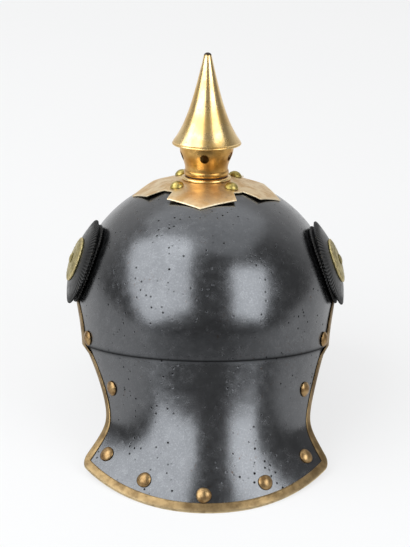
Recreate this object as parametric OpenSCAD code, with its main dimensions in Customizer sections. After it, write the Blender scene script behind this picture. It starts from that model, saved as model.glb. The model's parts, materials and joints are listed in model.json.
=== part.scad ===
// Steel spiked helmet of a mounted rifleman, early twentieth century, with brass fittings.
// Each piece is drawn in the helmet's own frame: the spike's axis is Z, the forehead is +Y and
// Z = 0 is the skull's widest level. stand() then pitches the helmet forward, so that the tail
// of the neck guard and the lip of the visor both rest on the floor, the part's Z = 0.

/* [Skull] */
// Outer width of the skull
skull_w = 200; // [192:1:210]
// Outer length of the skull, forehead to nape
skull_l = 236; // [228:1:248]
// Height of the crown above the widest level
crown_h = 93; // [88:1:100]
// Thickness of the skull's steel
skull_t = 1.4; // [1.2:0.1:1.8]
// Depth of the brow rim below the widest level
brow_drop = 27; // [24:1:32]
// Depth of the rim at the nape below the widest level
nape_drop = 17; // [14:1:22]
// Radius of the cut-out over each ear
ear_r = 38; // [34:1:42]
// Distance of the ear cut-out's centre behind the spike's axis
ear_back = 6; // [2:1:10]
// Distance of the ear cut-out's centre below the brow rim
ear_sink = 5; // [2:1:8]

/* [Neck guard] */
// Height of the neck guard at its tail, below the seam
guard_drop = 102; // [94:1:110]
// Distance that the tail reaches behind the skull
tail_reach = 36; // [28:1:44]
// Height of the lower corners above the tail
corner_rise = 16; // [13:1:19]
// Width over the two lower corners
corner_w = 184; // [174:1:194]
// Distance of the lower corners behind the spike's axis
corner_back = 96; // [90:1:102]
// Radius of the lower corners
corner_r = 5; // [4:0.5:7]
// Distance below the seam at which the guard's sides flare
flare_start = 69; // [64:1:74]
// Roundness of the turn into the flare at the sides
flare_round = 13; // [10:1:18]
// Distance below the seam at which the guard flares at the nape
nape_flare_start = 50; // [46:1:60]
// Roundness of the turn into the flare at the nape
nape_flare_round = 26; // [20:1:30]
// Sideways sway of the hand-beaten guard at its waist
guard_sway = 2; // [0:0.5:3]
// Outward lean of the straight part at the nape, over the whole drop
nape_lean = 13; // [10:1:18]
// Inward lean of the straight part at the sides, over the whole drop
side_lean = 16; // [12:1:22]
// Thickness of the guard's steel
guard_t = 1.2; // [1:0.1:1.5]
// Height of the flange that tucks up inside the skull
guard_tuck_h = 11; // [8:1:13]

/* [Visor] */
// Distance that the visor reaches in front of the skull
visor_l = 50; // [44:1:58]
// Depth that the visor's lip lies below the brow rim
visor_fall = 30; // [26:1:34]
// Rise of the visor's curve above a straight slope
visor_crown = 2.5; // [1:0.5:4]
// Thickness of the visor's steel
visor_t = 1.2; // [1:0.1:1.5]
// Height of the flange that tucks up inside the brow rim
visor_tuck_h = 9; // [7:1:12]
// Radius of the visor's two corners
visor_corner_r = 3; // [2:0.5:4]

/* [Edge trim] */
// Width of the brass trim on the steel
trim_w = 6; // [5:0.5:6]
// Thickness of the brass trim
trim_t = 0.8; // [0.6:0.1:1]

/* [Rivets] */
// Diameter of the domed rivet heads of the neck guard
rivet_d = 11.5; // [10:0.5:12]
// Height of the domed rivet heads
rivet_h = 2.8; // [2:0.2:3.6]
// Diameter of the rivet shanks
rivet_shank_d = 3; // [2.4:0.2:3.6]
// Diameter of the burr washers
burr_d = 7; // [6:0.5:8]
// Thickness of the burr washers
burr_t = 0.8; // [0.6:0.1:1]
// Diameter of the visor's rivet heads
visor_rivet_d = 6; // [5:0.5:8]

/* [Cross base] */
// Length from the spike's axis to the point of each arm
arm_l = 56.7; // [52:0.1:60]
// Width of an arm across its two corners
arm_w = 52; // [48:1:54]
// Distance along the arm from the spike's axis to its corners
arm_corner = 43; // [41:0.5:45]
// Width of an arm where it leaves the hub
arm_root_w = 46; // [42:1:46]
// Radius of the round hub
hub_r = 37.5; // [36:0.5:39]
// Thickness of the base's brass sheet
base_t = 0.9; // [0.7:0.1:1.2]
// Angle that the base and spike are turned about the vertical
base_turn = -5.5; // [-8:0.5:8]
// Radius of the circle of studs
stud_circle = 28.8; // [27:0.1:30]
// Diameter of the domed stud heads
stud_d = 10.5; // [9:0.5:12]
// Height of the domed stud heads
stud_h = 4; // [3:0.5:5]
// Diameter of the stud shanks
stud_shank_d = 4; // [3:0.5:5]
// Outer radius of the collar that carries the spike
collar_r = 19; // [18.5:0.5:20]
// Height of the collar's seat above the crown
collar_rise = 2.5; // [2.2:0.1:3.5]

/* [Spike] */
// Height of the spike above the collar
spike_h = 95; // [90:0.5:100]
// Height of the cone's rim above the collar
rim_rise = 26; // [25:0.5:28]
// Radius of the cone's rim
rim_r = 26.5; // [25:0.5:28]
// Radius of the bead at the foot of the neck
foot_bead_r = 17.2; // [16.8:0.1:18]
// Radius of the neck at its waist
waist_r = 16.4; // [15.6:0.1:16.6]
// Radius of the neck under the cone
neck_top_r = 20.6; // [19.5:0.1:21.5]
// Radius of the five vent holes
vent_r = 3.5; // [3:0.1:4]
// Height of the vent holes above the collar
vent_rise = 16.5; // [15:0.5:18]
// Wall of the hollow neck and cone
spike_wall = 1; // [0.8:0.1:1.3]
// Thickness of the washer under the spike
washer_t = 0.8; // [0.6:0.1:1.2]
// Lift of the spike for one turn of its thread
thread_pitch = 1.5; // [1:0.25:2]
// Turns of the thread
thread_turns = 5; // [4:1:6]
// Length of the solid tip above the hollow cone
tip_l = 14; // [10:1:20]
// Radius of the threaded sleeve in the collar
sleeve_r = 12; // [11:0.5:13]
// Radius of the spike's blunt tip
tip_r = 1.6; // [1.2:0.1:2]

/* [Cockades] */
// Height of the side screws above the widest level
post_up = 30.5; // [28:0.5:32]
// Distance from the cockade's front edge to the head of the chin loop's pivot
pivot_space = 6.5; // [5.7:0.1:8]
// Diameter of the black cockade over its teeth
cockade_d = 67; // [65:0.5:68]
// Height of the cockade's dome
cockade_dome = 7.1; // [6.6:0.1:7.8]
// Thickness of the cockade's sheet
cockade_t = 1; // [0.8:0.1:1.2]
// Number of teeth round each cockade
cockade_teeth = 72; // [60:1:84]
// Depth of the teeth
tooth_h = 1.4; // [1:0.1:2]
// Diameter of the toothed leather backing
backing_d = 62; // [60:0.5:63]
// Thickness of the leather backing
backing_t = 1.1; // [1:0.1:1.3]
// Diameter of the brass rosette
rosette_d = 34.6; // [33:0.2:37]
// Height of the rosette's dome
rosette_h = 3.5; // [3.2:0.1:4.2]
// Diameter of the side screw's head
screw_d = 8; // [7:0.5:9]
// Diameter of the side screw's shank
post_d = 4.8; // [4:0.2:5.4]

/* [Chin scales] */
// Width of the leather chin strap
strap_w = 18; // [16:1:20]
// Thickness of the leather chin strap
strap_t = 2; // [1.6:0.1:2.2]
// Width of the brass scales
scale_w = 22; // [20:1:24]
// Number of scales on each side
scale_count = 9; // [8:1:10]
// Thickness of a scale
scale_t = 0.8; // [0.6:0.1:1]
// Length of bare strap from the last scale to the middle of the front
strap_bare = 34; // [30:1:40]
// Clearance between the strap and the skull's forehead
loop_front = 6.3; // [5.5:0.1:8]
// Distance from the skull's side to the middle of the strap
loop_side = 1.9; // [1.9:0.1:2.6]
// Height of the strap's pivots above the widest level
pivot_up = 18; // [16:1:20]
// Diameter of the pivot rivet
pivot_d = 4; // [3.4:0.2:4.6]
// Thickness of the leather tab that carries the pivot
tab_t = 1.2; // [1:0.1:1.3]
// Thickness of the buckle's wire
wire_d = 2.2; // [1.8:0.1:2.6]
// Length of the buckle between its two cross bars
buckle_l = 14; // [13:0.5:17]

/* [Front plate] */
// Radius of the rayed star from its centre to a long ray's point
star_r = 44; // [38:1:48]
// Radius of the notches between the rays
star_notch_r = 29; // [24:1:33]
// Thickness of the star's sheet
star_t = 1; // [0.8:0.1:1.4]
// Relief of the star at its centre
star_relief = 3; // [2:0.5:4]
// Height of the star's centre above the widest level
star_up = 30; // [27:1:34]
// Radius of the plain boss
boss_r = 12; // [10:0.5:14]
// Half the distance between the star's two studs
star_stud_half = 24; // [22:1:26]

/* [Liner] */
// Thickness of the leather liner band
band_t = 1.6; // [1.2:0.1:2]
// Height of the liner band's upper edge above the widest level
band_top = 19; // [17:1:20]
// Depth of the liner band's lower edge below the widest level
band_low = 4; // [2:1:4]
// Number of leather tongues
tongue_count = 9; // [8:1:10]
// Width of a tongue at its foot
tongue_w = 58; // [50:1:60]
// Width of a tongue at its tip
tongue_tip_w = 11; // [9:0.5:12]
// Thickness of the tongue leather
tongue_t = 1.4; // [1.2:0.1:1.8]
// Height of the hollow between the tongues' tips and the crown
crown_air = 16; // [14:1:20]

/* [Hidden] */
$fn = 64;

// Clearance between two sheets that lie on each other
gap = 0.15;
// Clearance between a leather or curved piece and what carries it
seat = 0.3;
// Running clearance of a pin in its hole, on the radius
run = 0.05;
// Overshoot of a cutting tool past the face that it cuts
over = 1;
// Depth of the flats that the helmet stands on
rest_flat = 0.4;

half_w = skull_w / 2;
half_l = skull_l / 2;
ear_z = -brow_drop - ear_sink;
ear_half = sqrt(ear_r * ear_r - ear_sink * ear_sink);
ear_rear_y = -ear_back - ear_half;
ear_front_y = -ear_back + ear_half;
tuck = skull_t + gap;

function unit(a) = a / norm(a);
function mix(a, b, k) = a + (b - a) * k;
function steps(a, b, n) = [for (i = [0:n]) mix(a, b, i / n)];
function flat(grid) = [for (row = grid) for (p = row) p];
// Outward normal of a surface f(t, v) whose v runs down and t to the right, seen from outside
function normal_of(f, t, v, h = 0.002) =
    unit(cross(f(t, v + h) - f(t, v - h), f(t + h, v) - f(t - h, v)));

// Skull's outer surface at the side: distance from the mid plane at a place seen from the side
function side_x(y, z) = half_w * sqrt(1 - pow(y / half_l, 2) - pow(max(z, 0) / crown_h, 2));
function side_point(side, y, z) = [side * side_x(y, z), y, z];
// Skull's outer surface above a place seen from above, for a dome of the given half axes
function dome_z(x, y, a = half_w, b = half_l, c = crown_h) =
    c * sqrt(max(1 - pow(x / a, 2) - pow(y / b, 2), 0));
// Skull's outer surface at the forehead
function brow_y(x, z) = half_l * sqrt(1 - pow(x / half_w, 2) - pow(max(z, 0) / crown_h, 2));
function skull_normal(p) = unit([p.x / pow(half_w, 2), p.y / pow(half_l, 2),
    max(p.z, 0) / pow(crown_h, 2)]);

// Neck guard, t from -1 at the left edge to 1 at the right, v from 0 at the seam to 1 at the lip
side_flare = [flare_start, flare_round] / guard_drop;
nape_flare = [nape_flare_start, nape_flare_round] / guard_drop;
edge_bend = 0.55;
function soft(d, turn) = (d + sqrt(d * d + turn * turn)) / 2;
function eased(v, flare) = soft(v - flare[0], flare[1]) - soft(-flare[0], flare[1]);
// A straight lean that turns softly into a flare and reaches the given distance at the lip
function bend(v, lean, reach, flare) =
    lean * v + (reach - lean) * eased(v, flare) / eased(1, flare);
function sway(v) = guard_sway * sin(180 * max(v, 0));
seam_angle = acos(-ear_rear_y / half_l);
foot_angle = acos(corner_back / (half_l + tail_reach));
corner_a = corner_w / 2 / sin(foot_angle);
function guard_angle(v) = mix(seam_angle, foot_angle, pow(max(v, 0), edge_bend));
seam_slope = (brow_drop - nape_drop) / (half_l + ear_rear_y);
function seam_z(t) = -nape_drop - seam_slope * half_l * (1 - cos(t * seam_angle));
tail_z = -nape_drop - guard_drop;
function guard_z(t, v) = mix(seam_z(t) - gap, tail_z + corner_rise * pow(abs(t), 2.2), v);
function guard_point(t, v) = let (g = t * guard_angle(v)) [
    sway(v) + (half_w - tuck + bend(v, -side_lean, corner_a - half_w + tuck, side_flare)) * sin(g),
    -(half_l - tuck + bend(v, nape_lean, tail_reach + tuck, nape_flare)) * cos(g),
    guard_z(t, v)];
guard_point_at = function (t, v) guard_point(t, v);
// The flange runs straight up inside the skull, a little narrower than the guard
flange_share = 0.94;
function guard_flange(t, k) = let (g = t * flange_share * seam_angle) [
    (half_w - tuck) * sin(g), -(half_l - tuck) * cos(g),
    seam_z(t * flange_share) + k * guard_tuck_h];

// Visor, t from -1 at the right end to 1 at the left, v from 0 at the brow to 1 at the lip
visor_angle = acos(ear_front_y / half_l);
visor_side = 1;
function visor_point(t, v) = let (g = t * visor_angle, drop = cos(g)) [
    -mix(half_w - tuck, half_w + visor_side, v) * sin(g),
    mix(half_l - tuck, half_l + visor_l, v) * drop,
    -brow_drop - gap - visor_fall * drop * v + visor_crown * 4 * v * (1 - v) * drop];
visor_point_at = function (t, v) visor_point(t, v);
function visor_flange(t, k) = let (g = t * flange_share * visor_angle) [
    -(half_w - tuck) * sin(g), (half_l - tuck) * cos(g), -brow_drop + k * visor_tuck_h];

// Standing pose: the tangent under the rounded trim at the tail and at the visor's lip
trim_over = gap + trim_t;
function bead_r(t) = t / 2 + trim_over;
function bead_mid(f, t) = let (n = normal_of(f, 0, 1), along = unit(f(0, 1) - f(0, 0.99)))
    f(0, 1) + along * (gap - bead_set * bead_r(t)) - n * t / 2;
// Share of the bead's radius that lies over the sheet
bead_set = 0.3;
tail_mid = bead_mid(guard_point_at, guard_t);
lip_mid = bead_mid(visor_point_at, visor_t);
pitch = atan2(lip_mid.z - tail_mid.z, lip_mid.y - tail_mid.y)
    + asin((bead_r(guard_t) - bead_r(visor_t)) / norm(lip_mid - tail_mid));
function stood_y(p) = p.y * cos(pitch) + p.z * sin(pitch);
function stood_z(p) = p.z * cos(pitch) - p.y * sin(pitch);
floor_lift = bead_r(guard_t) - rest_flat - stood_z(tail_mid);
middle_y = (stood_y(tail_mid) - bead_r(guard_t) + stood_y(lip_mid) + bead_r(visor_t)) / 2;

module stand() {
    translate([0, -middle_y, floor_lift]) rotate([-pitch, 0, 0]) children();
}

// Stands a child drawn along +Z on a surface point with the given outward normal
module place(p, n) {
    translate(p) rotate([0, acos(n.z), atan2(n.y, n.x)]) children();
}

// Closed sheet between an outer and an inner grid of points. Rows run down and columns to the
// right, seen from outside. A ring's columns close on themselves.
module sheet(outer, inner, ring = false) {
    rows = len(outer);
    cols = len(outer[0]);
    last = ring ? cols : cols - 1;
    base = rows * cols;
    function at(i, j) = i * cols + j % cols;
    walls = [
        for (j = [0:last - 1]) each [
            [at(0, j), base + at(0, j + 1), at(0, j + 1)],
            [at(0, j), base + at(0, j), base + at(0, j + 1)],
            [at(rows - 1, j), at(rows - 1, j + 1), base + at(rows - 1, j + 1)],
            [at(rows - 1, j), base + at(rows - 1, j + 1), base + at(rows - 1, j)]],
        if (!ring) for (i = [0:rows - 2]) each [
            [at(i, 0), at(i + 1, 0), base + at(i + 1, 0)],
            [at(i, 0), base + at(i + 1, 0), base + at(i, 0)],
            [at(i, cols - 1), base + at(i + 1, cols - 1), at(i + 1, cols - 1)],
            [at(i, cols - 1), base + at(i, cols - 1), base + at(i + 1, cols - 1)]]];
    skins = [for (i = [0:rows - 2]) for (j = [0:last - 1]) each [
        [at(i, j), at(i, j + 1), at(i + 1, j + 1)],
        [at(i, j), at(i + 1, j + 1), at(i + 1, j)],
        [base + at(i, j), base + at(i + 1, j + 1), base + at(i, j + 1)],
        [base + at(i, j), base + at(i + 1, j), base + at(i + 1, j + 1)]]];
    polyhedron(concat(flat(outer), flat(inner)), concat(skins, walls));
}

// Bar through a list of closed sections, with flat ends
module bar(sections) {
    rows = len(sections);
    cols = len(sections[0]);
    function at(i, j) = i * cols + j % cols;
    skins = [for (i = [0:rows - 2]) for (j = [0:cols - 1]) each [
        [at(i, j), at(i, j + 1), at(i + 1, j + 1)],
        [at(i, j), at(i + 1, j + 1), at(i + 1, j)]]];
    ends = [[for (j = [cols - 1:-1:0]) at(0, j)], [for (j = [0:cols - 1]) at(rows - 1, j)]];
    polyhedron(flat(sections), concat(skins, ends));
}

// Domed head of a given diameter and height, flat side on Z = 0
module dome(d, h) {
    ball = (d * d / 4 + h * h) / (2 * h);
    intersection() {
        translate([0, 0, h - ball]) sphere(ball);
        translate([0, 0, h / 2]) cube([d + over, d + over, h], center = true);
    }
}

// Ellipsoid dome of the given half axes on a straight wall that runs down to a depth
module dome_solid(a, b, c, deep) {
    intersection() {
        scale([1, b / a, c / a]) sphere(a);
        translate([0, 0, c / 2]) cube([3 * a, 3 * b, c], center = true);
    }
    translate([0, 0, -deep]) scale([1, b / a, 1]) cylinder(r = a, h = deep);
}

// What lies below the rim: the brow, the ear cut-outs and the rising seam at the nape
module below_rim(deep = 90) {
    rotate([90, 0, 90]) translate([0, 0, -half_w - over]) linear_extrude(2 * (half_w + over)) {
        polygon([[half_l + over, -brow_drop], [ear_front_y, -brow_drop],
            [ear_rear_y, -brow_drop], [-half_l, -nape_drop],
            [-half_l - over, -nape_drop + seam_slope * over],
            [-half_l - over, -deep], [half_l + over, -deep]]);
        translate([-ear_back, ear_z]) circle(ear_r);
    }
}

stud_spots = [for (i = [0:3]) let (a = 45 + 90 * i + base_turn, x = stud_circle * cos(a),
    y = stud_circle * sin(a)) [x, y, dome_z(x, y)]];
// The side rivets sit close behind the trim of the ear cut-out, at this angle above its centre
side_rivet_angle = 15.5;
side_rivet_reach = ear_r + trim_w + rivet_d / 2 + seat;
side_rivet = side_point(1, -ear_back - side_rivet_reach * cos(side_rivet_angle),
    ear_z + side_rivet_reach * sin(side_rivet_angle));
function mirrored(p) = [-p.x, p.y, p.z];
// Places of the neck guard's seven rivets as shares of its width and height
guard_rivets = [[-0.03, 0.9], [-0.49, 0.87], [0.44, 0.87], [-0.86, 0.84], [0.84, 0.84],
    [-0.84, 0.31], [0.84, 0.31]];
visor_rivet_angles = [-50, -25, 0, 25, 50];
visor_rivet_shank = 2.4;
function visor_rivet_spot(a) =
    [half_w * sin(a), half_l * cos(a), -brow_drop + visor_tuck_h / 2];
star_middle = [0, brow_y(0, star_up), star_up];
star_stud_d = 3;
star_stud_spots = [for (x = [-1, 1] * star_stud_half) [x, brow_y(x, star_up), star_up]];

module drill(spots, d, deep = 10) {
    for (p = spots)
        place(p, skull_normal(p)) translate([0, 0, -deep]) cylinder(d = d + 2 * run, h = 2 * deep);
}

module skull() {
    color("#37393c") stand() difference() {
        dome_solid(half_w, half_l, crown_h, brow_drop);
        dome_solid(half_w - skull_t, half_l - skull_t, crown_h - skull_t, brow_drop + over);
        below_rim();
        translate([0, 0, crown_h / 2]) cylinder(r = spigot_r + run, h = crown_h);
        drill(stud_spots, stud_shank_d);
        drill([post_spot, mirrored(post_spot)], post_d);
        drill([side_rivet, mirrored(side_rivet)], rivet_shank_d);
        drill(concat([star_middle], star_stud_spots), star_stud_d);
        drill([for (a = visor_rivet_angles) visor_rivet_spot(a)], visor_rivet_shank);
    }
}

// Rounded lower corners: the share of the half width that is left at a height v
function corner_share(v, rt, rv) =
    v > 1 - rv ? 1 - rt * (1 - sqrt(max(1 - pow((v - 1 + rv) / rv, 2), 0))) : 1;
side_drop = guard_drop - corner_rise - (brow_drop - nape_drop);
foot_arc = corner_a * foot_angle * PI / 180;
guard_rt = corner_r / foot_arc;
guard_rv = corner_r / side_drop;
corner_steps = 4;
function corner_rows(rv) = [for (k = [1:corner_steps]) 1 - rv + rv * sin(90 * k / corner_steps)];
// Rows of a sheet that hangs from a flange, each point set in by a distance along the normal
function shell_skin(f, flange, heights, cols, rows, rt, rv, inset) = concat(
    [for (k = heights) [for (t = cols) let (p = flange(t, k))
        p - inset * unit([p.x / pow(half_w, 2), p.y / pow(half_l, 2), 0])]],
    [for (v = rows) let (s = corner_share(v, rt, rv)) [for (t = cols)
        f(t * s, v) - inset * normal_of(f, t * s, v)]]);

// The trim's stations are the guard's own rows and columns, so that the two keep their gap
guard_cols = 50;
guard_rows = 15;
module neck_guard() {
    cols = steps(-1, 1, guard_cols);
    rows = concat(steps(0, 1 - guard_rv, guard_rows), corner_rows(guard_rv));
    flange = function (t, k) guard_flange(t, k);
    color("#3a3c40") stand() difference() {
        sheet(shell_skin(guard_point_at, flange, [1, 0.25], cols, rows, guard_rt, guard_rv, 0),
            shell_skin(guard_point_at, flange, [1, 0.25], cols, rows, guard_rt, guard_rv,
                guard_t));
        for (r = guard_rivets)
            place(guard_point(r[0], r[1]), normal_of(guard_point_at, r[0], r[1]))
                translate([0, 0, -burr_depth])
                    cylinder(d = rivet_shank_d + 2 * run, h = 2 * burr_depth);
        drill([side_rivet, mirrored(side_rivet)], rivet_shank_d);
    }
}

visor_arc = half_l * visor_angle * PI / 180;
visor_end_l = norm(visor_point(1, 1) - visor_point(1, 0));
visor_rt = visor_corner_r / visor_arc;
visor_rv = visor_corner_r / visor_end_l;

module visor() {
    cols = steps(-1, 1, 44);
    rows = concat(steps(0, 1 - visor_rv, 6), corner_rows(visor_rv));
    flange = function (t, k) visor_flange(t, k);
    color("#3a3c40") stand() difference() {
        sheet(shell_skin(visor_point_at, flange, [1, 0.3], cols, rows, visor_rt, visor_rv, 0),
            shell_skin(visor_point_at, flange, [1, 0.3], cols, rows, visor_rt, visor_rv,
                visor_t));
        drill([for (a = visor_rivet_angles) visor_rivet_spot(a)], visor_rivet_shank);
    }
}

// Edge of a sheet as [point, inner point, normals at both] along its left side, lip and right
// side, from the height v0. The inner points follow a rectangle, so the corners are mitred.
function edge_path(f, rt, rv, v0, side_n, lip_n) =
    let (h = 0.01,
        wt = function (t, v) trim_w * h / norm(f(t, v) - f(t - sign(t) * h, v)),
        wv = function (t) trim_w * h / norm(f(t, 1) - f(t, 1 - h)),
        in_v = 1 - wv(1 - rt), in_t = 1 - wt(1, in_v),
        item = function (t, v, ti, vi)
            [f(t, v), f(ti, vi), normal_of(f, t, v), normal_of(f, ti, vi)],
        side = function (s) [
            for (v = steps(v0, 1 - rv, side_n))
                item(s, v, s * (1 - wt(s, v)), min(v, in_v)),
            for (k = [1:corner_steps - 1]) let (c = 90 * k / corner_steps)
                item(s * (1 - rt * (1 - cos(c))), 1 - rv * (1 - sin(c)), s * in_t, in_v)],
        lip = [for (t = steps(-1 + rt, 1 - rt, lip_n))
            item(t, 1, sign(t) * min(abs(t), in_t), 1 - wv(t))],
        right = side(1))
    concat(side(-1), lip, [for (i = [len(right) - 1:-1:0]) right[i]]);

// U-shaped section of the trim over one edge item, for a sheet of thickness t
function trim_section(e, t) =
    let (w = trim_w, inside = -t - seat, low = inside - trim_t, high = trim_over,
        mid = (high + low) / 2, r = (high - low) / 2,
        outline = concat(
            [[w, gap], [-gap, gap], [-gap, inside], [w - 1, inside], [w - 1, low]],
            [for (a = steps(-90, 90, 5)) [(bead_set - cos(a)) * r - gap, mid + r * sin(a)]],
            [[w - trim_t / 2, high], [w, high - trim_t / 2]]))
    [for (q = outline) mix(e[0] + q[1] * e[2], e[1] + q[1] * e[3], q[0] / w)];

function ear_item(side, a) =
    let (at = function (r) side_point(side, -ear_back - r * cos(a), ear_z + r * sin(a)),
        p = at(ear_r), q = at(ear_r + trim_w))
    [p, q, skull_normal(p), skull_normal(q)];

// The trim leaves the ear cut-out this angle above the brow rim, where it also grips the sheet
// that is tucked inside the skull
ear_low = asin(ear_sink / ear_r) + 0.5;
module neck_guard_trim() {
    arch = steps(ear_low, 180 - ear_low, 20);
    grip = function (a) abs(a - 90) > 89 - ear_low ? tuck + guard_t : skull_t;
    left_ear = [for (a = arch) trim_section(ear_item(-1, 180 - a), grip(a))];
    right_ear = [for (a = arch) trim_section(ear_item(1, a), grip(a))];
    guard = [for (e = edge_path(guard_point_at, guard_rt, guard_rv, (1 - guard_rv) / guard_rows,
        guard_rows - 1, guard_cols)) trim_section(e, guard_t)];
    color("#9a7a45") difference() {
        stand() bar(concat(left_ear, guard, right_ear));
        below_floor();
    }
}

module visor_trim() {
    path = edge_path(visor_point_at, visor_rt, visor_rv, 0.45, 2, 40);
    color("#9a7a45") difference() {
        stand() bar([for (e = path) trim_section(e, visor_t)]);
        below_floor();
    }
}

module below_floor() {
    translate([-skull_w, -skull_l, -2 * trim_w]) cube([2 * skull_w, 2 * skull_l, 2 * trim_w]);
}

// Domed rivet: the head's flat stands at a lift above the surface point, and the closed end
// grips at a depth below it
module rivet(p, n, lift, depth, d, h, shank) {
    place(p, n) {
        translate([0, 0, lift]) dome(d, h);
        translate([0, 0, -depth - over]) cylinder(d = shank, h = depth + lift + over);
        translate([0, 0, -depth]) mirror([0, 0, 1]) dome(shank * 1.7, shank / 2);
    }
}

module washer(d, bore, h) {
    difference() {
        cylinder(d = d, h = h);
        translate([0, 0, -over]) cylinder(d = bore + 2 * run, h = h + 2 * over);
    }
}

module hex_nut(bore, h) {
    difference() {
        cylinder(d = bore * 2.2, h = h, $fn = 6);
        translate([0, 0, -over]) cylinder(d = bore + 2 * run, h = h + 2 * over);
    }
}

burr_depth = guard_t + seat + burr_t;
side_burr_depth = tuck + guard_t + seat + burr_t;

module neck_guard_rivets() {
    color("#b0793f") stand() {
        for (r = guard_rivets)
            rivet(guard_point(r[0], r[1]), normal_of(guard_point_at, r[0], r[1]), seat,
                burr_depth, rivet_d, rivet_h, rivet_shank_d);
        for (p = [side_rivet, mirrored(side_rivet)])
            rivet(p, skull_normal(p), seat, side_burr_depth, rivet_d, rivet_h, rivet_shank_d);
    }
}

module rivet_burrs() {
    color("#a8884a") stand() {
        for (r = guard_rivets)
            place(guard_point(r[0], r[1]), normal_of(guard_point_at, r[0], r[1]))
                translate([0, 0, -burr_depth]) washer(burr_d, rivet_shank_d, burr_t);
        for (p = [side_rivet, mirrored(side_rivet)])
            place(p, skull_normal(p))
                translate([0, 0, -side_burr_depth]) washer(burr_d, rivet_shank_d, burr_t);
    }
}

module visor_rivets() {
    color("#b0793f") stand() for (a = visor_rivet_angles) let (p = visor_rivet_spot(a))
        rivet(p, skull_normal(p), seat, tuck + visor_t + seat, visor_rivet_d,
            visor_rivet_d / 3, visor_rivet_shank);
}

// Outline of the cross base: pointed arms on a round hub, as a radius for an angle off an arm
arm_tip = [arm_l, 0];
arm_edge = [arm_corner, arm_w / 2];
arm_root = [sqrt(pow(hub_r, 2) - pow(arm_root_w / 2, 2)), arm_root_w / 2];
corner_at = atan2(arm_edge.y, arm_edge.x);
root_at = atan2(arm_root.y, arm_root.x);
function wedge(a, b) = a.x * b.y - a.y * b.x;
function along_line(a, b, at) = wedge(a, b - a) / wedge([cos(at), sin(at)], b - a);
function cross_r(at) = at < corner_at ? along_line(arm_tip, arm_edge, at)
    : at < root_at ? along_line(arm_edge, arm_root, at) : hub_r;
// The outline's corners fall on columns of the sheet
half_arm_angles = concat(steps(0, corner_at, 5), [(corner_at + root_at) / 2], steps(root_at, 44, 2));
arm_angles = concat([for (i = [len(half_arm_angles) - 1:-1:1]) -half_arm_angles[i]],
    half_arm_angles);
cross_rows = 9;
// The arms are flatter across than the skull, so their corners stand a little off it
arm_flat = 0.6;
function cross_height(u, w, turn) =
    let (out = max(u - hub_r * 0.6, 0) / hub_r, k = min(out * 2, 1),
        flat_w = w * mix(1, arm_flat, k),
        x = u * cos(turn) - flat_w * sin(turn), y = u * sin(turn) + flat_w * cos(turn))
    dome_z(x, y);
function cross_skin(lift) = [for (i = [0:cross_rows]) [
    for (arm = [0:3]) for (at = arm_angles)
        let (turn = base_turn + 90 * arm, r = mix(spigot_r + run, cross_r(abs(at)), i / cross_rows),
            u = r * cos(at), w = r * sin(at),
            p = [r * cos(turn + at), r * sin(turn + at), cross_height(u, w, turn)])
        p + lift * skull_normal(p)]];

module cross_base() {
    color("#b3925c") stand() difference() {
        sheet(cross_skin(seat + base_t), cross_skin(seat), ring = true);
        drill(stud_spots, stud_shank_d);
    }
}

// The collar's foot follows the crown from its spigot to its rim
collar_top = crown_h + collar_rise;
collar_grip = 1.4;
spigot_r = sleeve_r + collar_grip;
function collar_foot(r) = dome_z(0, r) + seat + base_t + gap;
module base_collar() {
    color("#b8863e") stand() rotate_extrude() polygon(concat(
        [[sleeve_r + run, crown_h - 2 * skull_t - 1], [spigot_r, crown_h - 2 * skull_t - 1],
            [spigot_r, collar_foot(spigot_r)]],
        [for (r = steps(spigot_r + 1.5, collar_r, 3)) [r, collar_foot(r)]],
        [[collar_r, collar_top - 0.6], [collar_r - 0.6, collar_top],
            [sleeve_r + run, collar_top]]));
}

module base_studs() {
    color("#b5a055") stand() for (p = stud_spots) place(p, skull_normal(p)) {
        translate([0, 0, 2 * seat + base_t]) dome(stud_d, stud_h);
        translate([0, 0, -skull_t - seat - nut_h - 1])
            cylinder(d = stud_shank_d, h = skull_t + nut_h + 2 + 2 * seat + base_t);
    }
}

module base_stud_nuts() {
    color("#a8884a") stand() for (p = stud_spots) place(p, skull_normal(p))
        translate([0, 0, -skull_t - seat - nut_h]) hex_nut(stud_shank_d, nut_h);
}

// Turned and hollow pieces of the spike, all about its own axis
spike_z = collar_top + run + washer_t + run;
rim_z = collar_top + rim_rise;
tip_z = collar_top + spike_h;
// Heights of the rim's edge, of the bead and of the waist above the bead
rim_lip = 1.5;
bead_h = 4;
waist_z = spike_z + bead_h + 1;
neck_end_z = rim_z - rim_lip;
neck_floor = 1.5;
function smooth(k) = k * k * (3 - 2 * k);
function bead_bulge(z) = sqrt(max(1 - pow((z - spike_z) * 2 / bead_h - 1, 2), 0));
// The neck opens in a curve from its waist and runs straight for the last few millimetres
function neck_r(z) = z < waist_z
    ? waist_r + (foot_bead_r - waist_r) * (z < spike_z + bead_h ? bead_bulge(z) : 0)
    : mix(waist_r, neck_top_r, smooth(min((z - waist_z) / (neck_end_z - 3 - waist_z), 1)));
// The cone is a long taper with a flare towards its rim
cone_taper = 0.22;
cone_flare = 16.4;
cone_end_r = tip_r + 0.7;
function cone_r(z) = cone_end_r + cone_taper * (tip_z - z)
    + (rim_r - cone_end_r - cone_taper * (tip_z - rim_z)) * exp((rim_z - z) / cone_flare);
tip_foot = tip_z - tip_l;
vent_count = 5;
// The rear vent hole sits this angle off the middle of the back
vent_turn = -6;

module spike_washer() {
    color("#3b2a1d") stand() rotate_extrude() translate([sleeve_r + 2 * run, collar_top + run])
        square([foot_bead_r - sleeve_r - 1, washer_t]);
}

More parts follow.
